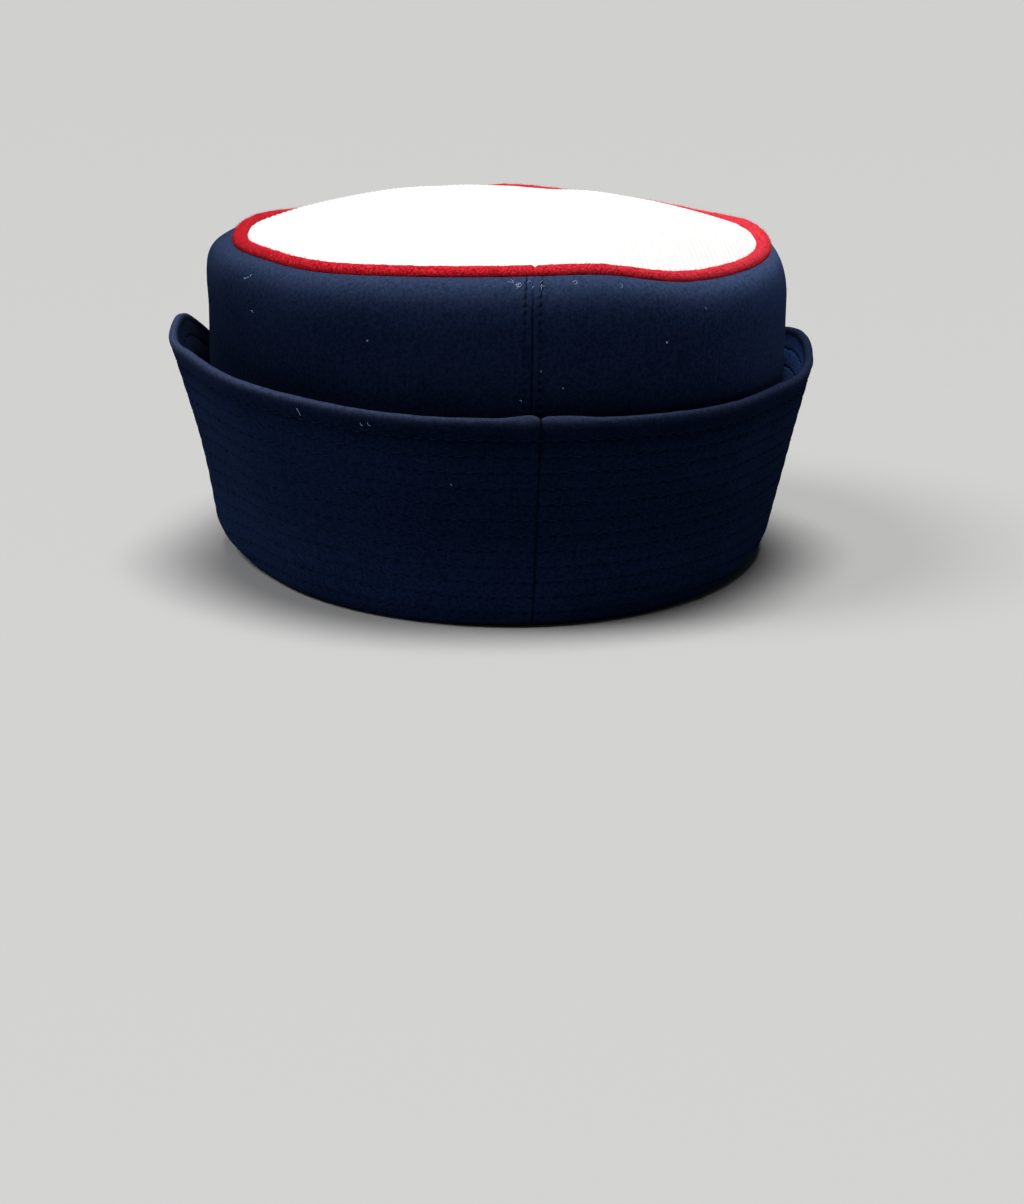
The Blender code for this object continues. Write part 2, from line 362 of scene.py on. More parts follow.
def cloth_net(name: str, points: Array, flat: Array) -> bpy.types.Object:
    """Lay a net of cloth through points, and sew it up where two of its edges meet.

    Args:
        name: The piece's name.
        points: Rows of points in space, one for each knot of the net.
        flat: The same knots on the flat cloth in metres, kept as the piece's UV map.

    Returns:
        The cloth as an object.
    """
    rows, columns = points.shape[:2]
    bm = bmesh.new()
    bmesh.ops.create_grid(bm, x_segments=columns - 1, y_segments=rows - 1, size=1.0)
    mesh = bpy.data.meshes.new(name)
    bm.to_mesh(mesh)
    mesh.vertices.foreach_set("co", points.reshape(-1).astype(np.float32))
    knots = np.zeros(len(mesh.loops), np.int32)
    mesh.loops.foreach_get("vertex_index", knots)
    layer = mesh.uv_layers.new(name="cloth")
    layer.uv.foreach_set("vector", flat.reshape(-1, 2)[knots].reshape(-1).astype(np.float32))
    bm.clear()
    bm.from_mesh(mesh)
    bpy.data.meshes.remove(mesh)
    bmesh.ops.remove_doubles(bm, verts=bm.verts, dist=0.001 * MM)
    bmesh.ops.recalc_face_normals(bm, faces=bm.faces)
    return finish_mesh(name, bm)


def scatter(name: str, template: bmesh.types.BMesh, places: Array) -> bpy.types.Object:
    """Return one mesh with a copy of a small closed shape at each place.

    Args:
        name: The piece's name.
        template: The shape, which is freed.
        places: 4 x 4 matrices that put a copy in its place.

    Returns:
        The copies, joined in one object.
    """
    corners = np.array([vert.co for vert in template.verts])
    faces = [[vert.index for vert in face.verts] for face in template.faces]
    template.free()
    points = np.einsum("kij,pj->kpi", places[:, :3, :3], corners) + places[:, None, :3, 3]
    copies = [[corner + len(corners) * k for corner in face] for k in range(len(places)) for face in faces]
    mesh = bpy.data.meshes.new(name)
    mesh.from_pydata(points.reshape(-1, 3).tolist(), [], copies)
    mesh.shade_smooth()
    return put_in_scene(name, mesh)


def stitch_shape(length: float, width: float, arch: float) -> bmesh.types.BMesh:
    """Make a stitch of thread along X that bows up in its middle, with its ends in the cloth.

    Args:
        length, width: The stitch's sizes.
        arch: How far its middle stands up.

    Returns:
        The stitch as a closed shape.
    """
    bm = bmesh.new()
    bmesh.ops.create_uvsphere(bm, u_segments=6, v_segments=5, radius=1.0)
    bmesh.ops.rotate(bm, verts=bm.verts, matrix=Matrix.Rotation(math.radians(90.0), 3, "Y"))
    bmesh.ops.scale(bm, verts=bm.verts, vec=(length / 2, width / 2, width / 2))
    for vert in bm.verts:
        vert.co.z += arch * (1.0 - (2.0 * vert.co.x / length) ** 2)
    return bm


def stand_on(points: Array, along: Array, normals: Array) -> Array:
    """Work out how copies of a small shape stand on the cloth.

    Args:
        points: Where they stand.
        along: Which way the shape's X runs at each point.
        normals: Which way its Z points, where that is square to X.

    Returns:
        A 4 x 4 matrix for each point.
    """
    x = along / np.linalg.norm(along, axis=-1, keepdims=True)
    y = np.cross(normals, x)
    y /= np.linalg.norm(y, axis=-1, keepdims=True)
    z = np.cross(x, y)
    places = np.zeros((len(points), 4, 4))
    places[:, :3, 0], places[:, :3, 1], places[:, :3, 2] = x, y, z
    places[:, :3, 3] = points
    places[:, 3, 3] = 1.0
    return places


# Finishes


class Value:
    """A socket in a material's nodes, on which Python's operators add Math nodes."""

    def __init__(self, tree: bpy.types.NodeTree, socket: bpy.types.NodeSocket) -> None:
        """Wrap an output socket."""
        self.tree = tree
        self.socket = socket

    def math(self, operation: str, *others: Any) -> "Value":
        """Return a Math node's output, with this value first."""
        return self.join(operation, self, *others)

    def join(self, operation: str, *values: Any) -> "Value":
        """Add a Math node.

        Args:
            operation: What it works out.
            *values: The sockets or numbers that it reads.

        Returns:
            The node's output.
        """
        node = self.tree.nodes.new("ShaderNodeMath")
        node.operation = operation
        for socket, value in zip(node.inputs, values):
            if isinstance(value, Value):
                self.tree.links.new(value.socket, socket)
            else:
                socket.default_value = value
        return Value(self.tree, node.outputs[0])

    def __add__(self, other: Any) -> "Value":
        """Return the sum."""
        return self.join("ADD", self, other)

    def __radd__(self, other: Any) -> "Value":
        """Return the sum."""
        return self.join("ADD", other, self)

    def __sub__(self, other: Any) -> "Value":
        """Return the difference."""
        return self.join("SUBTRACT", self, other)

    def __rsub__(self, other: Any) -> "Value":
        """Return the difference."""
        return self.join("SUBTRACT", other, self)

    def __mul__(self, other: Any) -> "Value":
        """Return the product."""
        return self.join("MULTIPLY", self, other)

    def __rmul__(self, other: Any) -> "Value":
        """Return the product."""
        return self.join("MULTIPLY", other, self)

    def __pow__(self, other: Any) -> "Value":
        """Return the power."""
        return self.join("POWER", self, other)

    def wave(self) -> "Value":
        """Return the sine of the value in radians, brought to 0 to 1."""
        return self.math("SINE") * 0.5 + 0.5

    def hump(self, width: float) -> "Value":
        """Return a bell of height 1 around a value of 0, which has faded at twice its width."""
        share = self * (1.0 / width)
        return (share * share * -1.0).math("EXPONENT")

    def off_whole(self) -> "Value":
        """Return how far the value is from the nearest whole number."""
        return (self - self.math("ROUND")).math("ABSOLUTE")

    def clamp(self) -> "Value":
        """Return the value kept between 0 and 1."""
        return self.math("MAXIMUM", 0.0).math("MINIMUM", 1.0)

    def ramp(self, start: float, run: float) -> "Value":
        """Return how far the value has got along a run from a start, between 0 and 1."""
        return ((self - start) * (1.0 / run)).clamp()


class Finish:
    """A material that is being made, with one Principled shader."""

    def __init__(self, name: str, roughness: float, **constants: Any) -> None:
        """Start a material.

        Args:
            name: The material's name.
            roughness: The shader's roughness where nothing else sets it.
            **constants: Values of other sockets, whose names have _ for each space.
        """
        self.material = bpy.data.materials.new(name)
        self.material.use_nodes = True
        self.tree = self.material.node_tree
        self.shader = self.tree.nodes["Principled BSDF"]
        self.shader.inputs["Roughness"].default_value = roughness
        for socket, value in constants.items():
            self.shader.inputs[socket.replace("_", " ")].default_value = value

    def add(self, kind: str, settings: dict[str, Any], inputs: dict[Any, Any], output: Any = 0) -> Value:
        """Add a node and return one of its outputs.

        Args:
            kind: The node's type.
            settings: Its properties, set first.
            inputs: The values or links of its sockets, by name or number.
            output: Which output is wanted, by name or number.

        Returns:
            The output socket.
        """
        node = self.tree.nodes.new(kind)
        for name, setting in settings.items():
            setattr(node, name, setting)
        for name, value in inputs.items():
            if isinstance(value, Value):
                self.tree.links.new(value.socket, node.inputs[name])
            else:
                node.inputs[name].default_value = value
        return Value(self.tree, node.outputs[output])

    def place(self) -> Value:
        """Return the place on the object."""
        return self.add("ShaderNodeTexCoord", {}, {}, "Object")

    def cloth(self) -> tuple[Value, Value]:
        """Return the place on the flat cloth in metres, as its two directions."""
        at = self.add("ShaderNodeUVMap", {"uv_map": "cloth"}, {})
        return self.axis(at, 0), self.axis(at, 1)

    def axis(self, at: Value, number: int) -> Value:
        """Return one of a place's three numbers."""
        return self.add("ShaderNodeSeparateXYZ", {}, {0: at}, number)

    def noise(self, at: Value, size: float, detail: float = 2.0, rough: float = 0.55) -> Value:
        """Return noise from 0 to 1 whose spots have about the given size in metres."""
        sockets = {"Vector": at, "Scale": 1.0 / size, "Detail": detail, "Roughness": rough}
        return self.add("ShaderNodeTexNoise", {}, sockets, "Fac")

    def patches(self, at: Value, size: float, contrast: float, level: float) -> Value:
        """Return uneven patches from 0 to 1 of about the given size in metres."""
        return (self.noise(at, size, 2.0, 0.6) * contrast + level).clamp()

    def stretched(self, at: Value, stretch: tuple[float, float, float]) -> Value:
        """Return a place with its three directions scaled."""
        return self.add("ShaderNodeMapping", {}, {"Vector": at, "Scale": stretch}, "Vector")

    def mix(self, share: Value, first: Value | Color, second: Value | Color) -> Value:
        """Return a colour between two colours, each of which is plain or varies."""
        ends = [end if isinstance(end, Value) else (*end, 1.0) for end in (first, second)]
        return self.add("ShaderNodeMix", {"data_type": "RGBA"}, {0: share, 6: ends[0], 7: ends[1]}, 2)

    def dress(self, color: Value, height: Value, depth: float, roughness: Value | None = None) -> None:
        """Feed the shader.

        Args:
            color: The base colour.
            height: The relief from 0 to 1.
            depth: How high the relief stands in metres.
            roughness: The roughness, where it varies.
        """
        relief = {"Height": height, "Distance": depth, "Strength": 1.0}
        normal = self.add("ShaderNodeBump", {}, relief, "Normal")
        self.tree.links.new(color.socket, self.shader.inputs["Base Color"])
        self.tree.links.new(normal.socket, self.shader.inputs["Normal"])
        if roughness is not None:
            self.tree.links.new(roughness.socket, self.shader.inputs["Roughness"])


@dataclass(frozen=True)
class ClothSpot:
    """A spot on a cloth: its material, and its distances from the seam, from the edge and around the hat."""

    finish: Finish
    from_seam: Value
    from_edge: Value
    across: Value


@dataclass(frozen=True)
class NavyWool:
    """Fine navy wool cloth with a short nap, on a net whose second direction starts at an edge.

    Attributes:
        name: The material's name.
        girth: Length of the cloth once around the hat, from the back seam to itself.
        deep, worn: The colours between the yarns, and of the nap where it stands up.
        faded_and_lit, fade_run: Worn nap and painted highlight at the edge, and how far that reaches.
        far, far_start, far_run: Share of painted light far from the edge, below 1 for painted shade, from
            where and over what run.
        lean, lean_from: Painted light towards the wearer's left for each metre, below zero for painted shade,
            and from where.
        right_painted_light, right_from: How much painted light it gets again near the wearer's right, and
            from where.
        crease, seam_width: The colour of painted shade deep in a seam and in stitch holes, and the width of
            the crease.
        seam_start, seam_run: How far from the edge the seam's painted shade starts to show, and the run until
            it is dark.
        twill, slope, yarn: Distance between the twill's ridges, their slope, and the distance between yarns.
        nap, tuft, cloud: Sizes of the nap, of its tufts and of the cloth's slow changes.
        depth: Height of the relief.
    """

    name: str
    girth: float
    deep: Color = (0.0038, 0.0083, 0.0268)
    worn: Color = (0.0081, 0.0157, 0.0458)
    # Painted highlight at the edge, partly worn nap.
    faded_and_lit: Color = (0.046, 0.070, 0.150)
    fade_run: float = 7.4 * MM
    # Painted shade far from the piping.
    far: float = 0.70
    far_start: float = 17.0 * MM
    far_run: float = 25.0 * MM
    # Painted shade towards the wearer's left, painted light near the wearer's right.
    lean: float = -2.9
    lean_from: float = -1.0
    right_painted_light: float = 9.0
    right_from: float = 0.05
    # Colour of painted shade in seams and stitch holes.
    crease: Color = (0.0016, 0.0032, 0.0100)
    seam_width: float = 0.34 * MM
    seam_start: float = 3.0 * MM
    seam_run: float = 9.0 * MM
    twill: float = 0.75 * MM
    slope: float = 0.62
    yarn: float = 0.42 * MM
    nap: float = 0.50 * MM
    tuft: float = 1.25 * MM
    cloud: float = 26.0 * MM
    depth: float = 0.10 * MM

    def build(self) -> bpy.types.Material:
        """Make the cloth's material.

        Returns:
            The material.
        """
        finish = Finish(self.name, 0.9, Sheen_Weight=0.03, Sheen_Roughness=0.4,
                        Sheen_Tint=(0.34, 0.50, 1.0, 1.0), Specular_IOR_Level=0.0)
        across, up = finish.cloth()
        at = finish.place()
        turn = 2.0 * math.pi
        from_edge = up.math("ABSOLUTE")
        from_seam = self.girth / 2 - (across - self.girth / 2).math("ABSOLUTE")
        twill = ((across + up * self.slope) * (turn / self.twill)).wave()
        weft = (up * (turn / self.yarn)).wave()
        warp = (across * (turn / self.yarn)).wave()
        nap = finish.noise(at, self.nap, 3.0, 0.65)
        tuft = finish.noise(at, self.tuft, 2.0, 0.6)
        cloud = finish.noise(at, self.cloud, 2.0, 0.5)
        height = twill * 0.15 + weft * warp * 0.20 + nap * 0.9 + tuft * 0.8
        shade = (nap * 2.2 + tuft * 3.0 + cloud * 0.8 + twill * 0.06 - 2.55).clamp()
        # Painted light and shade down the wall, by distance from the edge.
        far = from_edge.ramp(self.far_start, self.far_run)
        side = finish.axis(at, 0)
        # Painted highlight at the edge, partly worn nap, patchy with the nap.
        fade = (from_edge.hump(self.fade_run) * (tuft * 1.1 + nap * 1.3 - 0.42) * self.wear_and_highlight(side)).clamp()
        near_cloth = finish.mix(shade, self.deep, self.worn)
        far_painted_cloth = finish.mix(shade, self.far_painted_tone(self.deep), self.far_painted_tone(self.worn))
        color = finish.mix(fade, finish.mix(far, near_cloth, far_painted_cloth), self.faded_and_lit)
        # Painted light and shade across the hat and over the brim's two faces, scaling the colour.
        painted_light_scaled = {0: color, "Scale": self.tone(side, up)}
        color = finish.add("ShaderNodeVectorMath", {"operation": "SCALE"}, painted_light_scaled)
        # dark is painted shade in the stitch holes.
        height, dark = self.needlework(ClothSpot(finish, from_seam, from_edge, across), height)
        # Painted shade along the seam's crease, patchy and fading in from the edge.
        seam_shade_patches = finish.patches(at, 3.0 * MM, 3.0, -0.9) * 0.8 + 0.2
        seam_shade_ramp = from_edge.ramp(self.seam_start, self.seam_run)
        seam_shade_mask = from_seam.hump(self.seam_width) * seam_shade_patches * seam_shade_ramp
        color = finish.mix((dark + seam_shade_mask).clamp(), color, self.crease)
        finish.dress(color, height, self.depth, nap * 0.12 + 0.84)
        return finish.material

    def wear_and_highlight(self, side: Value) -> Value:
        """Return how much painted highlight and worn nap there is at the edge, at some places across the hat.
        """
        return side * 0.0 + 1.0

    def tone(self, side: Value, up: Value) -> Value:
        """Return the painted light and shade that scale the colour at places across the hat and over its two
        faces.
        """
        right = (-self.right_from - side).math("MAXIMUM", 0.0) * self.right_painted_light
        return side.math("MAXIMUM", self.lean_from) * self.lean + right + 1.0

    def far_painted_tone(self, color: Color) -> Color:
        """Return a colour of the cloth as scaled by its painted light and shade far from the edge."""
        return color[0] * self.far, color[1] * self.far, color[2] * self.far

    def needlework(self, spot: ClothSpot, height: Value) -> tuple[Value, Value]:
        """Sew the cloth.

        Args:
            spot: A spot on the cloth.
            height: The cloth's own relief.

        Returns:
            The relief with the needlework's dimples, and a value that is 1 where they get painted shade.
        """
        raise NotImplementedError


@dataclass(frozen=True, kw_only=True)
class CrownWool(NavyWool):
    """Navy wool of the crown, gathered into the seam at its top and topstitched beside the seam at the back.

    Attributes:
        stitch_offset, stitch_pitch: Distances of the topstitching from the seam, and from stitch to stitch.
        row_width: Width of the topstitching's dimples.
        gather_run, gather: How far the gathers reach from the piping, and their width.
    """

    stitch_offset: float
    stitch_pitch: float
    row_width: float = 0.70 * MM
    gather_run: float = 6.0 * MM
    gather: float = 1.1 * MM

    def needlework(self, spot: ClothSpot, height: Value) -> tuple[Value, Value]:
        """Gather the cloth at the piping and topstitch it beside the seam.

        Args:
            spot: A spot on the cloth.
            height: The cloth's own relief.

        Returns:
            The relief with the gathers and the dimples, and where the dimples get painted shade.
        """
        finish, at = spot.finish, spot.finish.place()
        near = (1.0 - spot.from_edge * (1.0 / self.gather_run)).clamp()
        gathers = finish.noise(finish.stretched(at, (1.0, 1.0, 0.12)), self.gather, 2.0, 0.6)
        holes = (0.5 - (spot.from_edge * (1.0 / self.stitch_pitch) - 0.5).off_whole()).hump(0.25)
        row = (spot.from_seam - self.stitch_offset).hump(self.row_width)
        uneven = finish.patches(at, 3.5 * MM, 2.4, -0.5)
        # The dimples' darkness is painted shade in the stitch holes.
        dimples = row * (holes * 0.85 + 0.05) * (uneven * 0.7 + 0.3)
        raised = row * (1.0 - holes) * 1.5
        return height + near * near * gathers * 3.0 + raised - dimples * 4.0, dimples * 0.8


@dataclass(frozen=True, kw_only=True)
class BrimWool(NavyWool):
    """Navy wool of the brim, quilted in rows along its rim.

    Attributes:
        first_row, row_pitch, rows: Distances of the quilting's rows from the rim and from each other, and
            their number.
        stitches, row_shift: Stitches in a row, and its shift against the row above, as a share of a stitch.
        row_width: Width of a row's dimples.
        under_rim_width: Width of the band of painted shade under the rim, which also sets where painted light
            starts inside.
    """

    # Darker than the crown's same navy: painted shade on the brim.
    deep: Color = (0.0019, 0.0052, 0.0178)
    worn: Color = (0.0045, 0.0101, 0.0325)
    # Painted highlight on the rolled rim, partly worn nap.
    faded_and_lit: Color = (0.0340, 0.0440, 0.0870)
    fade_run: float = 2.3 * MM
    seam_start: float = -1.0 * MM
    seam_run: float = 1.0 * MM
    # Painted light near the fold.
    far: float = 1.6
    far_start: float = 42.0 * MM
    far_run: float = 24.0 * MM
    # Painted light towards the wearer's left and near the wearer's right.
    lean: float = 4.0
    lean_from: float = 0.01
    right_painted_light: float = 3.0
    first_row: float
    row_pitch: float
    rows: int
    stitches: int
    row_shift: float
    row_width: float = 0.34 * MM
    under_rim_width: float = 4.0 * MM

    def wear_and_highlight(self, side: Value) -> Value:
        """Return the painted highlight and worn nap of the rim, both less on the wearer's right."""
        return side.math("MINIMUM", 0.0) * 5.0 + 1.0

    def tone(self, side: Value, up: Value) -> Value:
        """Work out the painted light and shade, brightest inside the brim on the wearer's right and dark in a
        band under the rim.

        Args:
            side: Places across the hat.
            up: Distances from the rim, below zero inside the brim.

        Returns:
            The share of its own lightness.
        """
        # Painted light inside the brim on the wearer's right, and painted shade in a band under the rim.
        inside = (up * (-1.0 / self.under_rim_width) - 0.6).clamp() * side.ramp(-0.085, -0.015) * 9.0
        under_rim_shade = (up - 1.8 * self.under_rim_width).hump(1.4 * self.under_rim_width)
        return (super().tone(side, up) + inside) * (1.0 - under_rim_shade * 0.36)

    def needlework(self, spot: ClothSpot, height: Value) -> tuple[Value, Value]:
        """Quilt the cloth in rows.

        Args:
            spot: A spot on the cloth.
            height: The cloth's own relief.

        Returns:
            The relief with the dimples, and where they get painted shade.
        """
        place = (spot.from_edge - self.first_row) * (1.0 / self.row_pitch)
        row = place.math("ROUND")
        quilted = row.math("GREATER_THAN", -0.5) * row.math("LESS_THAN", self.rows - 0.5)
        along = spot.across * (self.stitches / self.girth) - row * self.row_shift
        holes = (0.5 - along.off_whole()).hump(0.20)
        line = (place.off_whole() * self.row_pitch).hump(self.row_width)
        sunk = spot.finish.patches(spot.finish.place(), 7.0 * MM, 3.0, -0.9)
        # The dimples' darkness is painted shade in the stitch holes.
        dimples = quilted * line * (holes * 0.82 + 0.18) * (sunk * 0.7 + 0.3)
        return height - dimples * 6.0, dimples * 0.84


@dataclass(frozen=True)
class WhiteRib:
    """White cloth woven in ribs, whose ribs themselves are in the mesh.

    Attributes:
        name: The material's name.
        rib, pick: Distances between the ribs, and between the threads across a rib.
        rib_top, shaded_valley: The colours on top of the ribs, and with painted shade between them.
    """

    name: str
    rib: float
    rib_top: Color = (0.97, 0.965, 0.95)
    shaded_valley: Color = (0.945, 0.94, 0.92)
    pick: float = 0.34 * MM

    def build(self) -> bpy.types.Material:
        """Make the cloth's material.

        Returns:
            The material.
        """
        finish = Finish(self.name, 0.8, Sheen_Weight=0.15, Sheen_Roughness=0.5, Specular_IOR_Level=0.25)
        across, along = finish.cloth()
        at = finish.place()
        turn = 2.0 * math.pi
        ridge = (across * (turn / self.rib) - 0.5 * math.pi).wave()
        picks = (along * (turn / self.pick)).wave()
        fuzz = finish.noise(at, 0.3 * MM, 3.0, 0.6)
        cloud = finish.noise(at, 30.0 * MM, 2.0, 0.5)
        shade = (ridge * 1.6 + fuzz * 0.3 + cloud * 0.25 - 0.1).clamp()
        # Painted shade between the ribs.
        finish.dress(finish.mix(shade, self.shaded_valley, self.rib_top), picks * 0.6 + fuzz * 0.7, 0.07 * MM)
        return finish.material


@dataclass(frozen=True)
class RedWool:
    """Felted red wool yarn.

    Attributes:
        name: The material's name.
        deep, bright: The colours between the fibres, and of those that stand up.
        tuft, fibre: Sizes of the felted tufts and of the fibres.
        girth: Length once around the piping's section on its UV map, or 0 for no painted shade on its
            underside.
        under: The colour of the painted shade on its underside.
        pale, pale_from, pale_run: The painted highlight colour near the wearer's right, from where and over
            what run.
        dull_from, dull_run: From where painted shade dulls it towards the wearer's left, and over what run.
        depth: Height of the relief.
    """

    name: str
    deep: Color = (0.38, 0.0040, 0.0100)
    bright: Color = (0.92, 0.033, 0.055)
    tuft: float = 0.75 * MM
    fibre: float = 0.22 * MM
    girth: float = 0.0
    # Painted shade on the piping's underside.
    under: Color = (0.16, 0.0016, 0.0048)
    # Painted highlight near the wearer's right, and painted shade towards the wearer's left.
    pale: Color = (1.0, 0.064, 0.102)
    pale_from: float = -0.01
    pale_run: float = 0.09
    dull_from: float = 0.03
    dull_run: float = 0.06
    depth: float = 0.40 * MM

    def build(self) -> bpy.types.Material:
        """Make the wool's material.

        Returns:
            The material.
        """
        finish = Finish(self.name, 0.85, Sheen_Weight=0.14, Sheen_Roughness=0.4,
                        Sheen_Tint=(1.0, 0.16, 0.22, 1.0), Specular_IOR_Level=0.02)
        at = finish.place()
        tufts = finish.noise(at, self.tuft, 3.0, 0.65)
        fibres = finish.noise(at, self.fibre, 2.0, 0.6)
        right = finish.axis(at, 0) * -1.0
        # Painted shade towards the wearer's left, painted highlight towards the wearer's right.
        dull = right.ramp(-self.dull_from, -self.dull_run) * 0.20
        shade = (tufts * 5.2 + fibres * 1.8 - 3.0 - dull).clamp()
        pale = right.ramp(self.pale_from, self.pale_run) * (shade * 0.6 + 0.3)
        color = finish.mix(pale, finish.mix(shade, self.deep, self.bright), self.pale)
        if self.girth:
            around = finish.cloth()[1] * (2.0 * math.pi / self.girth)
            # Painted shade on the piping's underside.
            low = (around + 0.5 * math.pi + 0.75).wave() ** 5.0
            color = finish.mix((low * (tufts * 0.8 + 0.6)).clamp(), color, self.under)
        finish.dress(color, tufts + fibres * 0.5, self.depth)
        return finish.material


@dataclass(frozen=True)
class Thread:
    """Sewing thread and lint.

    Attributes:
        name: The material's name.
        dark, light: The colours between the plies and on top of them.
        roughness, shine: How dull it is, and how strongly it reflects.
        ply: Distance between the plies.
    """

    name: str
    dark: Color
    light: Color
    roughness: float = 0.85
    shine: float = 0.02
    ply: float = 0.25 * MM

    def build(self) -> bpy.types.Material:
        """Make the thread's material.

        Returns:
            The material.
        """
        finish = Finish(self.name, self.roughness, Specular_IOR_Level=self.shine)
        plies = finish.noise(finish.place(), self.ply, 2.0, 0.5)
        finish.dress(finish.mix(plies, self.dark, self.light), plies, 0.05 * MM)
        return finish.material


def hand_over(obj: bpy.types.Object, material: bpy.types.Material | None, slot: Slot | None,
              *replaced: str) -> bpy.types.Object:
    """Give a piece its material and its place on the hat.

    Args:
        obj: The finished piece.
        material: What it is made of, unless it is already dressed.
        slot: The record's slot for the piece, if it has one; not used.
        *replaced: The nodes of the frame that it stands for.

    Returns:
        The piece.
    """
    if material is not None:
        obj.data.materials.append(material)
    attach(obj, "root")
    if replaced:
        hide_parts(*replaced)
    log.info("%s: %s", obj.name, obj.type.lower())
    return obj


# The hat


@dataclass
class HatPlan:
    """Places and sizes that the pieces share.

    Attributes:
        head_half_width, head_half_length: Half the head opening's sizes.
        crown_height: Height of the piping's middle.
        piping: Thickness of the piping.
        crown_meets_at, panel_meets_at: Where the crown's and the top's cloth meet it, in degrees up from
            level.
        shoulder_run: How far the piping lies inside the crown.
        top_shift: How far the top lies to the wearer's right.
        wave_height, waves: Height of the waves in the seam around the top, and their table.
        crown_power: Squareness of the crown's plan.
        clearance: Gap between pieces that are sewn together.
    """

    head_half_width: float = 0.0799
    head_half_length: float = 0.0970
    crown_height: float = 0.1132
    piping: float = 0.0048
    crown_meets_at: float = -17.0
    panel_meets_at: float = 17.0
    shoulder_run: float = 0.0098
    top_shift: float = 0.0014
    wave_height: float = 0.0031
    crown_power: float = 2.2
    clearance: float = 0.0003
    waves: RowTable = field(default_factory=lambda: RowTable(WAVE_ROWS))

    def __post_init__(self) -> None:
        """Take the crown's middle and half sizes from the piping in the frame."""
        low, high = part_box("top_piping")
        overhang = self.shoulder_run - self.piping / 2
        self.centre = np.array(((low.x + high.x) / 2 + self.top_shift, (low.y + high.y) / 2))
        self.crown_half_width = (high.x - low.x) / 2 + overhang
        self.crown_half_length = (high.y - low.y) / 2 + overhang

    def wave(self, angles: Array) -> Array:
        """Return how far the seam around the top is lifted at some angles."""
        return self.wave_height * self.waves.read("lift", angles)

    def seam_oval(self, inside: float = 0.0) -> tuple[float, float]:
        """Return the half sizes of the oval that runs inside the piping's middle at some distance."""
        return (self.crown_half_width - self.shoulder_run - inside,
                self.crown_half_length - self.shoulder_run - inside)

    def beside_piping(self, turn: float) -> tuple[float, float]:
        """Return a point just clear of the piping, as (out, up) from its middle, at degrees up from level."""
        reach = self.piping / 2 + self.clearance
        return reach * math.cos(math.radians(turn)), reach * math.sin(math.radians(turn))

    def in_space(self, plan: Array, height: Array) -> Array:
        """Return points in space from points in plan around the crown's middle and their heights."""
        return with_height(plan + self.centre, height)


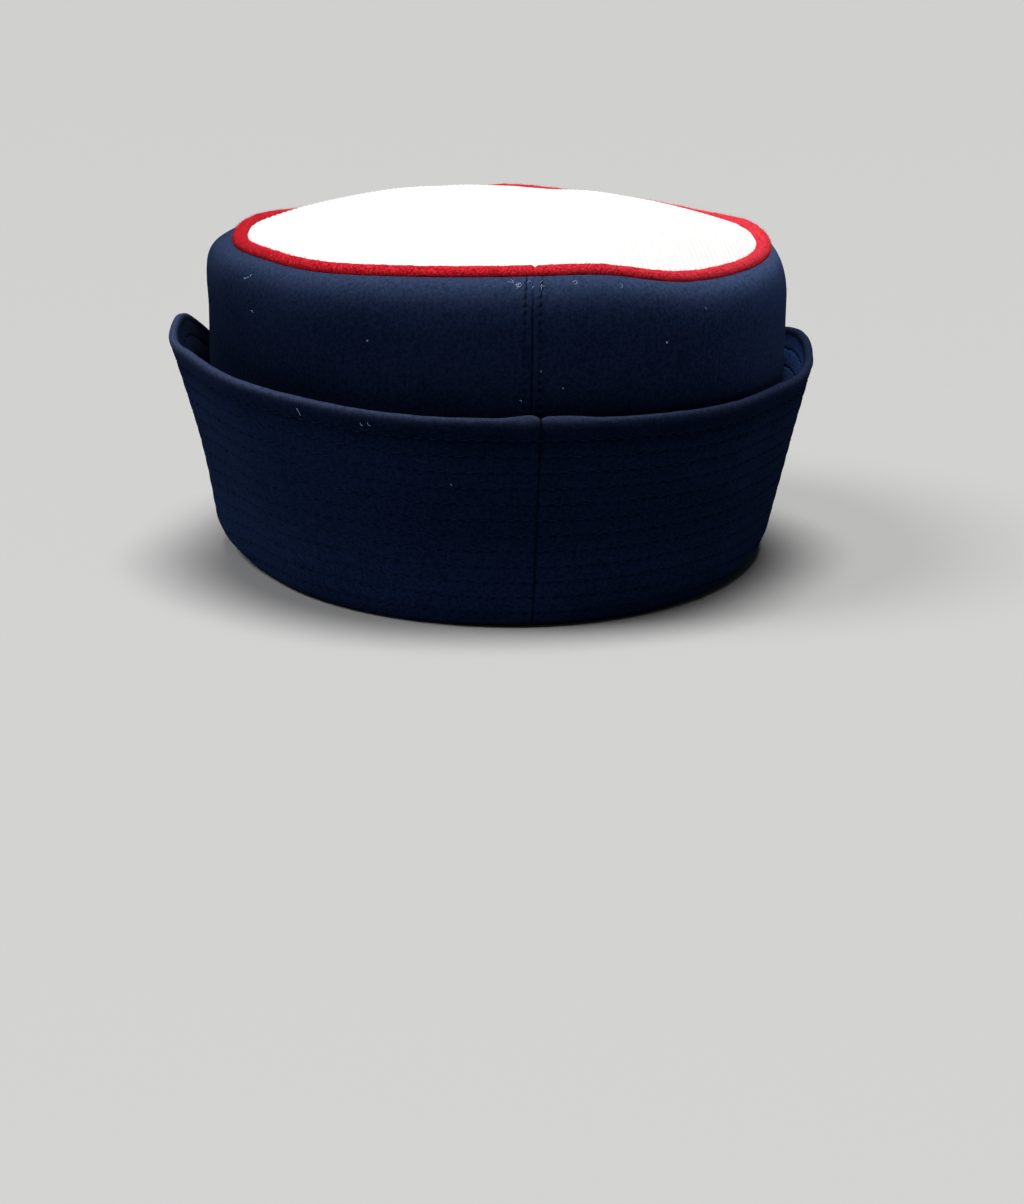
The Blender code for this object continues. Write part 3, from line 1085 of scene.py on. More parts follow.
@dataclass
class Crown:
    """The crown band: one wall of cloth around the head, sewn up at the centre back.

    Attributes:
        plan: Places and sizes that the pieces share.
        wall: Thickness of the cloth.
        foot, flare_top: Heights of its lower edge, and where it stands out furthest.
        shoulder_drop: Height of the rounded shoulder.
        shoulder_turn: How far the shoulder has turned in when it meets the piping, in degrees.
        end_turn: How far around the piping the cloth's raw edge reaches, in degrees.
        seam_angle: Where the seam at the back lies.
        seam_depth, seam_width: Sizes of the seam's groove.
        stitches: Number of stitches on each side of the seam.
        stitch_pitch, stitch_offset: Their distances from each other and from the seam.
        row_depth, row_width: Sizes of the groove that a row of them lies in.
        allowance: How far the folded edges under the seam lift the cloth.
        sway: How far the wall leans out of its smooth shape.
        around, crowding: Steps of the net around the hat, and how much closer they are at the seam.
        steps, inner_step: Its steps up the flare, the wall and the shoulder, and how many of them the inside
            takes at once.
        flare_share, wall_share: Where the flare ends and the shoulder starts, as shares of the way up.
        fullness, fullness_at: How far the shoulder stands out on the wearer's left, and at which angle.
        fullness_spread, fullness_power: How far this reaches around, in degrees, and how close to the top.
    """

    plan: HatPlan
    wall: float = 0.0022
    foot: float = 0.0029
    flare_top: float = 0.072
    shoulder_drop: float = 0.0165
    shoulder_turn: float = 72.0
    end_turn: float = 48.0
    seam_angle: float = -0.25
    seam_depth: float = 0.60 * MM
    seam_width: float = 0.36 * MM
    stitches: int = 33
    stitch_pitch: float = 2.7 * MM
    stitch_offset: float = 2.5 * MM
    row_depth: float = 0.20 * MM
    row_width: float = 0.45 * MM
    allowance: float = 0.25 * MM
    sway: float = 0.30 * MM
    around: int = 440
    crowding: float = 0.85
    steps: tuple[int, int, int] = (24, 16, 34)
    inner_step: int = 4
    flare_share: float = 0.40
    wall_share: float = 0.62
    fullness: float = 0.0029
    fullness_at: float = 92.0
    fullness_spread: float = 32.0
    fullness_power: float = 6.0

    def profile(self, share: Array) -> tuple[Array, Array, Array]:
        """Work out the outside's section.

        Args:
            share: Places on the way up, from 0 at the lower edge to 1 at the piping.

        Returns:
            How far it has flared, from 0 to 1, how far the shoulder has turned in, and its height.
        """
        plan = self.plan
        seam_out, seam_up = plan.beside_piping(plan.crown_meets_at)
        top = plan.crown_height + seam_up
        shoulder_foot = top - self.shoulder_drop
        rise = np.clip(share / self.flare_share, 0.0, 1.0)
        climb = np.clip((share - self.flare_share) / (self.wall_share - self.flare_share), 0.0, 1.0)
        last = math.radians(self.shoulder_turn)
        turn = last * np.clip((share - self.wall_share) / (1.0 - self.wall_share), 0.0, 1.0)
        step_in = (plan.shoulder_run - seam_out) * (1.0 - np.cos(turn)) / (1.0 - math.cos(last))
        height = (self.foot + (self.flare_top - self.foot) * rise + (shoulder_foot - self.flare_top) * climb
                  + self.shoulder_drop * np.sin(turn) / math.sin(last))
        return rise * rise * (3.0 - 2.0 * rise), step_in, height

    def half_sizes(self, share: Array) -> tuple[Array, Array, Array, Array]:
        """Work out the ovals that the outside runs through.

        Args:
            share: Places on the way up, from 0 at the lower edge to 1 at the piping.

        Returns:
            Their half widths, half lengths, powers and heights.
        """
        plan = self.plan
        flare, step_in, height = self.profile(share)
        foot_width = plan.head_half_width + self.wall
        foot_length = plan.head_half_length + self.wall
        return (foot_width + (plan.crown_half_width - foot_width) * flare - step_in,
                foot_length + (plan.crown_half_length - foot_length) * flare - step_in,
                2.0 + (plan.crown_power - 2.0) * flare, height)

    def face(self, angles: Array, share: Array) -> Pair:
        """Work out the smooth outside.

        Args:
            angles: Places around the hat in degrees.
            share: As many places on the way up, from 0 at the lower edge to 1 at the piping.

        Returns:
            Points on it and their outward normals.
        """
        plan = self.plan
        half_width, half_length, power, height = self.half_sizes(share)
        _, step_in, _ = self.profile(share)
        _, last_in, last_height = self.profile(np.array(1.0))
        spot = oval(angles, half_width, half_length, power)
        outward = oval_outward(spot, half_width, half_length, power)
        spot[..., 0] -= plan.top_shift * step_in / last_in
        rise = np.clip((height - self.flare_top) / (last_height - self.flare_top), 0.0, 1.0)
        lift = plan.wave(angles) * rise
        step = 0.002
        ahead = self.half_sizes(np.minimum(share + step, 1.0))
        behind = self.half_sizes(np.maximum(share - step, 0.0))
        run_out = (ahead[0] + ahead[1] - behind[0] - behind[1]) / 2
        run_up = ahead[3] - behind[3]
        size = np.hypot(run_out, run_up)
        normal = with_height(outward * (run_up / size)[..., None], -run_out / size)
        around = hump((angles - self.fullness_at + 180.0) % 360.0 - 180.0, self.fullness_spread)
        fuller = self.fullness * around * np.sin(math.pi * rise**self.fullness_power)
        return plan.in_space(spot, height + lift) + normal * fuller[..., None], normal

    def relief(self, angles: Array, share: Array, from_seam: Array) -> Array:
        """Work out how far the outside stands out from its smooth shape.

        Args:
            angles: Places around the hat in degrees.
            share: Places on the way up, from 0 at the lower edge to 1 at the piping.
            from_seam: Distances from the seam at the back.

        Returns:
            The relief in metres.
        """
        apart = np.abs(from_seam)
        groove = -self.seam_depth * hump(apart, self.seam_width)
        rows = -self.row_depth * hump(apart - self.stitch_offset, self.row_width)
        ridge = self.allowance * smoothstep(-apart, -4.2 * MM, -2.8 * MM)
        sway = self.sway * ripple(angles + 24.0 * share, (3, 5, 8, 13), 235) * smoothstep(share, 0.1, 0.5)
        calm = smoothstep(-share, -1.0, -0.86)
        return (groove + rows + ridge) * (0.35 + 0.65 * calm) + sway * calm

    def build_band(self) -> bpy.types.Object:
        """Make the cloth of the crown band.

        Returns:
            The piece, with its material.
        """
        plan = self.plan
        flare, wall, shoulder = self.steps
        share = np.concatenate((np.linspace(0.0, self.flare_share, flare, endpoint=False),
                                np.linspace(self.flare_share, self.wall_share, wall, endpoint=False),
                                np.linspace(self.wall_share, 1.0, shoulder)))
        angles = crowded_angles(self.seam_angle, self.around, self.crowding)
        turn, up = np.meshgrid(angles, share)
        points, normals = self.face(turn, up)
        outer = points + normals * self.relief(turn, up, signed_distance(points))[..., None]
        meets_at = plan.crown_meets_at
        out, drop = np.subtract(plan.beside_piping(meets_at), plan.beside_piping(meets_at - self.end_turn))
        outward = normals.copy()
        outward[..., 2] = 0.0
        outward /= np.linalg.norm(outward, axis=-1, keepdims=True)
        at_piping = outward * out + np.array((0.0, 0.0, drop))
        near = smoothstep(up, 0.9, 1.0)[..., None]
        inner = points - normals * self.wall * (1.0 - near) - at_piping * near
        net = np.concatenate((outer, inner[::-self.inner_step], outer[:1]))
        across, girth = self.around_cloth(angles)
        down = self.below_piping(share)
        ups = np.concatenate((down, down[::-self.inner_step], down[:1]))
        obj = cloth_net("crown_cloth", net, np.stack(np.meshgrid(across, ups), axis=-1))
        finish = CrownWool("crown_wool", girth, stitch_offset=self.stitch_offset,
                           stitch_pitch=self.stitch_pitch)
        obj.data.materials.append(finish.build())
        return obj

    def around_cloth(self, angles: Array) -> tuple[Array, float]:
        """Measure around the cloth.

        Args:
            angles: Places around the hat in degrees.

        Returns:
            The places' distances from the seam, and the whole length.
        """
        ring, _ = self.face(angles, np.full_like(angles, self.wall_share))
        steps = np.linalg.norm(np.diff(ring, axis=0), axis=1)
        across = np.concatenate(([0.0], np.cumsum(steps)))
        return across, float(across[-1])

    def below_piping(self, share: Array) -> Array:
        """Measure down the cloth.

        Args:
            share: Places on the way up, from 0 at the lower edge to 1 at the piping, in rising order.

        Returns:
            The places' distances from the piping.
        """
        line, _ = self.face(np.full_like(share, self.seam_angle), share)
        steps = np.linalg.norm(np.diff(line, axis=0), axis=1)
        return np.concatenate((np.cumsum(steps[::-1])[::-1], [0.0]))

    def build_stitches(self) -> bpy.types.Object:
        """Topstitch the crown on both sides of the seam at the back.

        Returns:
            The piece.
        """
        fine = np.linspace(0.0, 1.0, 400)
        down = self.below_piping(fine)
        marks = (np.arange(self.stitches) + 0.5) * self.stitch_pitch
        share = np.interp(-marks, -down, fine)
        half_width, _, power, _ = self.half_sizes(share)
        seam = oval(np.full_like(share, self.seam_angle), half_width, half_width, power)[:, 0]
        places = []
        for side in (-1.0, 1.0):
            across = seam + side * self.stitch_offset
            angles = np.degrees(np.arcsin(np.sign(across) * np.abs(across / half_width) ** (power / 2.0)))
            line, normals = self.face(angles, share)
            places.append(stand_on(line + normals * 0.02 * MM, np.gradient(line, axis=0), normals))
        shape = stitch_shape(0.70 * self.stitch_pitch, 0.30 * MM, 0.06 * MM)
        return scatter("crown_stitches", shape, np.concatenate(places))


@dataclass
class Brim:
    """The brim: one wall of cloth that folds out below the crown and stands up around it.

    Attributes:
        plan: Places and sizes that the pieces share.
        wall: Thickness of the cloth.
        seat: Width of the flat strip between the fold and the head opening.
        reach, rise, fold_radius: How far out from the fold and how high the rim stands, and the radius of the
            fold, where a row says 1.
        rim_roll, rim_share: Thickness of the rolled rim, and where it starts, as a share of the way up.
        crest_at, crest_spread: Where the crease along the rim's crest is deepest, and how far this reaches
            around, in degrees.
        seam_angle, seam_width: Where the seam at the back lies, and the width of its groove.
        rows, first_row, row_pitch: Number of rows of quilting, and their distances from the rim and from each
            other, as shares of the way up the brim.
        stitches, row_shift: Stitches in a row, and its shift against the row above, as a share of a stitch.
        puff: How far the cloth stands out between the rows.
        row_depth, row_width: Depth of a row's groove, and its width as a share of the distance between rows.
        around, crowding: Steps of the net around the hat, and how much closer they are at the seam.
        row_steps, roll_steps: Its steps from row to row and around the rolled rim, as shares.
        cloth_girth, cloth_height: Sizes of the flat cloth, from the seam to itself and from fold to rim.
        table: The brim's sections.
    """

    plan: HatPlan
    wall: float = 0.0026
    seat: float = 0.0037
    reach: float = 0.0320
    rise: float = 0.0850
    fold_radius: float = 0.0180
    rim_roll: float = 0.0031
    rim_share: float = 0.985
    crest_at: float = 72.0
    crest_spread: float = 24.0
    seam_angle: float = -1.6
    seam_width: float = 0.36 * MM
    rows: int = 12
    first_row: float = 0.063
    row_pitch: float = 0.0748
    stitches: int = 140
    row_shift: float = 0.37
    puff: float = 0.12 * MM
    row_depth: float = 0.18 * MM
    row_width: float = 0.085
    around: int = 520
    crowding: float = 0.85
    row_steps: tuple[float, ...] = (-0.5, -0.28, -0.1, 0.0, 0.1, 0.28)
    roll_steps: tuple[float, ...] = (0.12, 0.22, 0.32, 0.40, 0.455, 0.5, 0.545, 0.60, 0.68, 0.78, 0.88)
    cloth_girth: float = 0.600
    cloth_height: float = 0.075
    table: RowTable = field(default_factory=lambda: RowTable(BRIM_ROWS))

    def row_shares(self) -> Array:
        """Return where the rows of quilting lie, as shares of the way up the brim."""
        return 1.0 - self.first_row - self.row_pitch * np.arange(self.rows)[::-1]

    def section(self, angles: Array) -> dict[str, Array]:
        """Measure the brim's section.

        Args:
            angles: Places around the hat in degrees.

        Returns:
            The fold's radius, the wall's lean, the lengths of its straight part and of the whole, and the
            place on the outside that is beside the middle of the rim's roll.
        """
        reach = self.reach * self.table.read("reach", angles)
        rise = self.rise * self.table.read("rise", angles)
        fold = self.fold_radius * self.table.read("fold", angles)
        roll, half = self.rim_roll / 2, self.wall / 2
        top_out, top_up = reach, rise - roll - fold
        lean = np.arctan2(top_up, top_out) + np.arcsin(fold / np.hypot(top_out, top_up))
        neck = math.sqrt(roll**2 - half**2)
        straight = top_out * np.cos(lean) + top_up * np.sin(lean) - neck
        return {"fold": fold, "lean": lean, "straight": straight, "length": fold * lean + straight,
                "top_out": top_out, "top_up": top_up + fold}

    def root(self, angles: Array) -> Pair:
        """Work out where the fold starts.

        Args:
            angles: Places around the hat in degrees.

        Returns:
            Its points in plan and the outward normals there.
        """
        half_width = self.plan.head_half_width + self.seat
        half_length = self.plan.head_half_length + self.seat
        spot = oval(angles, half_width, half_length)
        return spot, oval_outward(spot, half_width, half_length)

    def lift(self, angles: Array, out: Array, up: Array, facing: Pair) -> Pair:
        """Bring places in the section into space.

        Args:
            angles: Places around the hat in degrees.
            out, up: The places, from where the fold starts.
            facing: The normals there, out and up.

        Returns:
            The points and their normals.
        """
        spot, outward = self.root(angles)
        normal = with_height(outward * facing[0][..., None], facing[1])
        return self.plan.in_space(spot + outward * out[..., None], up), normal

    def face(self, side: Side, angles: Array, share: Array) -> Pair:
        """Work out a smooth face of the wall.

        Args:
            side: Which face.
            angles: Places around the hat in degrees.
            share: Places on the way up from the fold, from 0 to 1 at the rim.

        Returns:
            Points on it and their normals.
        """
        cut = self.section(angles)
        run = share * cut["length"]
        turn = np.minimum(run / cut["fold"], cut["lean"])
        climb = np.maximum(run - cut["fold"] * cut["lean"], 0.0)
        facing_out, facing_up = np.sin(turn), -np.cos(turn)
        inset = self.wall if side is Side.INSIDE else 0.0
        out = (cut["fold"] - inset) * facing_out + climb * np.cos(cut["lean"])
        up = cut["fold"] + (cut["fold"] - inset) * facing_up + climb * np.sin(cut["lean"])
        return self.lift(angles, out, up, (side.value * facing_out, side.value * facing_up))

    def rim(self, angles: Array, share: Array) -> Pair:
        """Work out the smooth rolled rim.

        Args:
            angles: Places around the hat in degrees.
            share: Places around the roll, from 0 at the outside to 1 at the inside.

        Returns:
            Points on it and their normals.
        """
        cut = self.section(angles)
        roll, half = self.rim_roll / 2, self.wall / 2
        start = math.atan2(half, -math.sqrt(roll**2 - half**2))
        turn = start * (1.0 - 2.0 * share)
        along_out, along_up = np.cos(cut["lean"]), np.sin(cut["lean"])
        facing_out = along_out * np.cos(turn) + along_up * np.sin(turn)
        facing_up = along_up * np.cos(turn) - along_out * np.sin(turn)
        out = cut["top_out"] - along_up * half + roll * facing_out
        up = cut["top_up"] + along_out * half + roll * facing_up
        return self.lift(angles, out, up, (facing_out, facing_up))

    def quilting(self, share: Array) -> Array:
        """Work out how far the cloth stands out between its rows of stitching.

        Args:
            share: Places on the way up from the fold, from 0 to 1 at the rim.

        Returns:
            The relief in metres.
        """
        pitch = self.row_pitch
        rows = self.row_shares()
        nearest = np.min(np.abs(share[..., None] - rows), axis=-1) / pitch
        inside = smoothstep(share, rows[0] - 0.5 * pitch, rows[0]) * smoothstep(-share, -1.0, -rows[-1])
        puff = self.puff * smoothstep(nearest, 0.0, 0.5) * inside
        grooves = -self.row_depth * hump(nearest, self.row_width)
        last = -0.10 * MM * hump((share - rows[-1]) / pitch, 0.12)
        return puff + grooves + last + self.puff * hump((share - self.rim_share) / pitch, 0.25)

    def seam(self, from_seam: Array, share: Array) -> Array:
        """Work out how far the cloth stands out at the back seam, where the rim swells on both sides.

        Args:
            from_seam: Distances from the seam.
            share: Places on the way up from the fold, from 0 to 1 at the rim.

        Returns:
            The relief in metres.
        """
        apart = np.abs(from_seam)
        pulled = 0.78 + 0.24 * np.cos(2.0 * math.pi * (share - self.row_shares()[-1]) / self.row_pitch)
        groove = -pulled * MM * hump(apart, self.seam_width)
        ridge = 0.16 * MM * smoothstep(-apart, -7.0 * MM, -1.0 * MM)
        left = 0.80 * hump(from_seam - 4.0 * MM, 5.0 * MM)
        right = 0.75 * hump(from_seam + 8.0 * MM, 8.0 * MM)
        notch = 0.75 * hump(apart, 1.8 * MM)
        return groove + ridge + (left + right - notch) * MM * smoothstep(share, 0.92, 1.0)

    def sway(self, angles: Array, share: Array) -> Array:
        """Work out how far the whole wall leans out of its smooth shape.

        Args:
            angles: Places around the hat in degrees.
            share: Places on the way up from the fold, from 0 to 1 at the rim.

        Returns:
            The distance outwards in metres.
        """
        slow = 0.30 * MM * ripple(angles - 18.0 * share, (4, 7, 11), 572)
        quick = 0.09 * MM * ripple(angles + 9.0 * share, (19, 31, 47), 12)
        return (slow + quick) * smoothstep(share, 0.12, 0.6)

    def sheet(self, side: Side, turn: Array, share: Array) -> Array:
        """Work out the quilted face of one side of the wall.

        Args:
            side: Which face.
            turn: Places around the hat in degrees.
            share: Places on the way up from the fold, from 0 to 1 at the rim.

        Returns:
            The net's knots.
        """
        points, normals = self.face(side, turn, share)
        from_seam = signed_distance(points)
        padding = self.quilting(share) * (1.0 if side is Side.OUTSIDE else 0.35)
        relief = padding + self.seam(from_seam, share) + side.value * self.sway(turn, share)
        return points + normals * (relief * smoothstep(share, 0.0, 0.08))[..., None]

    def rolled_rim(self, turn: Array, share: Array) -> Array:
        """Work out the rolled rim, with the crease that runs along its crest.

        Args:
            turn: Places around the hat in degrees.
            share: Places around the roll, from 0 to 1.

        Returns:
            The net's knots.
        """
        points, normals = self.rim(turn, share)
        crest = np.ones_like(share)
        left = hump(turn - self.crest_at, self.crest_spread)
        crease = -(0.22 + 0.20 * left) * MM * hump(share - 0.5, 0.035)
        uneven = 0.05 * MM * ripple(turn, (23, 37, 59, 83), 31)
        relief = crease + self.seam(signed_distance(points), crest) + uneven
        _, outward = self.lift(turn, 0.0 * share, 0.0 * share, (crest, 0.0 * share))
        tilt = np.sum(normals * outward, axis=-1)
        return points + normals * (relief + tilt * self.sway(turn, crest))[..., None]

    def rim_bend(self) -> float:
        """Return how far the cloth runs from the rim's crest to where its roll meets the wall."""
        roll, half = self.rim_roll / 2, self.wall / 2
        return math.atan2(half, -math.sqrt(roll**2 - half**2)) * roll

    def build_cloth(self) -> bpy.types.Object:
        """Make the brim's cloth, with its quilting, its rolled rim and its seam.

        Returns:
            The piece, with its material.
        """
        rows, pitch = self.row_shares(), self.row_pitch
        steps = [row + pitch * step for row in rows for step in self.row_steps]
        places = np.array([0.0, rows[0] - pitch, rows[0] - 0.75 * pitch, *steps, rows[-1] + 0.5 * pitch,
                           self.rim_share, 1.0])
        roll = np.array(self.roll_steps)
        angles = crowded_angles(self.seam_angle, self.around, self.crowding)
        turn, share = np.meshgrid(angles, places)
        outer, inner = (self.sheet(side, turn, share) for side in Side)
        rim = self.rolled_rim(*np.meshgrid(angles, roll))
        head = self.plan.in_space(oval(angles, self.plan.head_half_width, self.plan.head_half_length), 0.0)
        over = head + np.array((0.0, 0.0, self.wall))
        net = np.concatenate((head[None], outer, rim, inner[::-1], over[None], head[None]))
        across = (angles - self.seam_angle) / 360.0 * self.cloth_girth
        bend = self.rim_bend()
        fall = bend + (1.0 - places) * self.cloth_height
        seat = bend + self.cloth_height + self.seat
        crest = (1.0 - 2.0 * roll) * bend
        up = np.concatenate(([seat], fall, crest, -fall[::-1], [-seat, -seat - self.wall]))
        obj = cloth_net("brim_cloth", net, np.stack(np.meshgrid(across, up), axis=-1))
        finish = BrimWool("brim_wool", self.cloth_girth, first_row=bend + self.first_row * self.cloth_height,
                          row_pitch=pitch * self.cloth_height, rows=self.rows, stitches=self.stitches,
                          row_shift=self.row_shift)
        obj.data.materials.append(finish.build())
        return obj

    def build_stitches(self, side: Side) -> bpy.types.Object:
        """Stitch the rows of quilting on one face.

        Args:
            side: Which face.

        Returns:
            The piece.
        """
        places = []
        draw = np.random.default_rng(19)
        step = 360.0 / self.stitches
        for number, row in enumerate(self.row_shares()[::-1]):
            angles = self.seam_angle + step * (np.arange(self.stitches) + self.row_shift * number)
            share = np.full_like(angles, row)
            line, normals = self.face(side, angles, share)
            ahead, _ = self.face(side, angles + 0.1, share)
            sunk = (0.03 if side is Side.OUTSIDE else 0.10) + draw.uniform(0.0, 0.10, len(angles))
            depth = side.value * self.sway(angles, share) - sunk * MM
            places.append(stand_on(line + normals * depth[:, None], ahead - line, normals))
        shape = stitch_shape(2.8 * MM, 0.28 * MM, 0.05 * MM)
        return scatter(f"brim_stitches_{side.name.lower()}", shape, np.concatenate(places))


@dataclass
class TopPanel:
    """The white top: ribbed cloth, domed, with its ribs from front to back.

    Attributes:
        plan: Places and sizes that the pieces share.
        wall: Thickness of the cloth.
        dome, dome_power: Height of the dome, and how flat its middle is.
        dome_lean, dome_back_lean: How much fuller it is on the wearer's left and at the back.
        rib, rib_height: Distance from rib to rib, and their height.
        rib_steps: The net's steps across a rib, as shares of it.
        rows: The net's knots along a rib.
        edge: How close the outermost line of knots comes to the seam, as a share of the half width.
    """

    plan: HatPlan
    wall: float = 0.0018
    dome: float = 0.0148
    dome_power: float = 2.4
    dome_lean: float = 0.09
    dome_back_lean: float = 0.30
    rib: float = 1.9 * MM
    rib_height: float = 0.42 * MM
    rib_steps: tuple[float, ...] = (0.0, 0.10, 0.28, 0.5, 0.72, 0.90)
    rows: int = 45
    edge: float = 0.9995

    def knots(self, half_width: float, half_length: float) -> Pair:
        """Lay out the net's knots, with a line of them along every rib and step.

        Args:
            half_width, half_length: Half the sizes of the cloth.

        Returns:
            Their distances across the ribs and along them, from the middle.
        """
        ribs = math.floor(half_width / self.rib)
        lines = [self.rib * (k + step) for k in range(-ribs, ribs) for step in self.rib_steps]
        x = np.array([-half_width * self.edge, *lines, ribs * self.rib, half_width * self.edge])
        spread = np.sin(np.linspace(-0.5, 0.5, self.rows) * math.pi)
        across, share_y = np.meshgrid(x, spread)
        power = self.plan.crown_power
        reach = half_length * (1.0 - np.abs(across / half_width) ** power) ** (1.0 / power)
        return across, share_y * reach

    def ribbed(self, height: Array, across: Array, along: Array, gauge: Array, angles: Array) -> Array:
        """Put the ribs and the cloth's unevenness on the dome.

        Args:
            height: The smooth dome's height.
            across, along: The knots in plan.
            gauge: How far out they are, from 0 in the middle to 1 at the seam.
            angles: Places around the hat in degrees.

        Returns:
            The height with both.
        """
        ridge = np.abs(np.sin(math.pi * across / self.rib)) ** 0.8
        fade = 1.0 - 0.5 * smoothstep(gauge, 0.985, 1.0)
        uneven = 0.25 * MM * ripple(angles, (3, 7, 12), 21) * np.sin(gauge * math.pi)
        hollow = 0.95 * MM * hump(across + 16.0 * MM, 15.0 * MM) * hump(along + 45.0 * MM, 30.0 * MM)
        return height + self.rib_height * (ridge - 0.7) * fade + uneven - hollow

    def build(self) -> bpy.types.Object:
        """Make the ribbed cloth.

        Returns:
            The piece.
        """
        plan = self.plan
        seam_out, seam_up = plan.beside_piping(plan.panel_meets_at)
        half_width, half_length = plan.seam_oval(seam_out)
        across, along = self.knots(half_width, half_length)
        power = plan.crown_power
        side, front = np.abs(across / half_width), np.abs(along / half_length)
        gauge = np.clip((side**power + front**power) ** (1.0 / power), 0.0, 1.0)
        angles = np.degrees(np.arctan2(np.sign(across) * side ** (power / 2.0),
                                       np.sign(along) * front ** (power / 2.0)))
        turn = np.radians(angles)
        lean = 1.0 + gauge * (self.dome_lean * np.sin(turn) + self.dome_back_lean * np.cos(turn))
        dome = self.dome * (1.0 - gauge**self.dome_power) * lean
        height = plan.crown_height + seam_up + dome + plan.wave(angles) * gauge**4
        height = self.ribbed(height, across, along, gauge, angles)
        spot = np.stack((across - plan.top_shift, along), axis=-1)
        obj = cloth_net("top_cloth", plan.in_space(spot, height), np.stack((across, along), axis=-1))
        wall = obj.modifiers.new("wall", "SOLIDIFY")
        wall.thickness = self.wall
        wall.offset = -1.0
        return obj


@dataclass
class Piping:
    """The red piping around the top: felted wool, round, with loose fibres.

    Attributes:
        plan: Places and sizes that the pieces share.
        around, sides: Steps along the piping, and around its section.
        swell: How much thicker and lower it is than a bare cord.
        joint_angle: Where its ends meet, in degrees.
        fibres: Number of loose fibres.
        fibre_turns: Between which turns they stand, in degrees up from the outer side.
        fibre_lengths: The shortest and the longest one's length in mm.
        stray: How far they lean off straight out.
    """

    plan: HatPlan
    around: int = 1500
    sides: int = 20
    swell: float = 0.14 * MM
    joint_angle: float = -0.4
    fibres: int = 15000
    fibre_turns: tuple[float, float] = (-65.0, 200.0)
    fibre_lengths: tuple[float, float] = (0.4, 1.3)
    stray: float = 0.75

    def middle(self, angles: Array) -> Pair:
        """Follow the piping's middle.

        Args:
            angles: Places around the hat in degrees.

        Returns:
            Its points and the outward directions there.
        """
        plan = self.plan
        half_width, half_length = plan.seam_oval()
        spot = oval(angles, half_width, half_length, plan.crown_power)
        outward = oval_outward(spot, half_width, half_length, plan.crown_power)
        spot[..., 0] -= plan.top_shift
        height = plan.crown_height - self.swell + plan.wave(angles)
        return plan.in_space(spot, height), with_height(outward, 0.0)

    def face(self, angles: Array, turns: Array) -> Pair:
        """Work out the piping's lumpy surface.

        Args:
            angles: Places around the hat in degrees.
            turns: Places around its section, in degrees up from the outer side.

        Returns:
            Points on it and their normals.
        """
        middle, outward = self.middle(angles)
        turn = np.radians(turns)[..., None]
        normal = outward * np.cos(turn) + np.array((0.0, 0.0, 1.0)) * np.sin(turn)
        lumps = 0.10 * ripple(angles * 3.0 + turns, (9, 17, 29), 41)
        lumps = lumps + 0.05 * ripple(angles * 5.0 - turns, (31, 53), 42)
        nick = -0.6 * hump(angles - self.joint_angle, 0.28) * smoothstep(np.sin(turn[..., 0]), 0.25, 0.85)
        return middle + normal * (self.plan.piping / 2 + self.swell + (lumps + nick) * MM)[..., None], normal

    def girth(self) -> float:
        """Return the length once around the piping's section."""
        return math.pi * self.plan.piping

    def build_core(self) -> bpy.types.Object:
        """Make the piping itself.

        Returns:
            The piece.
        """
        angles = crowded_angles(self.joint_angle, self.around, 0.6)
        angles = np.where(angles > 180.0, angles - 360.0, angles)
        turn, around = np.meshgrid(np.linspace(0.0, 360.0, self.sides + 1), angles, indexing="ij")
        points, _ = self.face(around, turn)
        points[:, -1] = points[:, 0]
        points[-1] = points[0]
        along = np.radians(around) * self.plan.crown_half_length
        return cloth_net("piping_wool", points, np.stack((along, turn / 360.0 * self.girth()), axis=-1))

    def build_fibres(self) -> bpy.types.Object:
        """Make the loose fibres that stand off the piping.

        Returns:
            The piece.
        """
        draw = np.random.default_rng(7)
        angles = draw.uniform(-180.0, 180.0, self.fibres)
        turns = draw.uniform(*self.fibre_turns, self.fibres)
        points, normals = self.face(angles, turns)
        stray = normals + draw.normal(0.0, self.stray, normals.shape)
        lengths = draw.uniform(*self.fibre_lengths, self.fibres) * MM
        bm = bmesh.new()
        bmesh.ops.create_cone(bm, cap_ends=True, segments=3, radius1=0.035 * MM, radius2=0.006 * MM,
                              depth=1.0 * MM)
        bmesh.ops.rotate(bm, verts=bm.verts, matrix=Matrix.Rotation(math.radians(90.0), 3, "Y"))
        bmesh.ops.translate(bm, verts=bm.verts, vec=(0.4 * MM, 0.0, 0.0))
        side = draw.normal(0.0, 1.0, normals.shape)
        places = stand_on(points, stray, side)
        places[:, :3, 0] *= (lengths / MM)[:, None]
        return scatter("piping_fibres", bm, places)


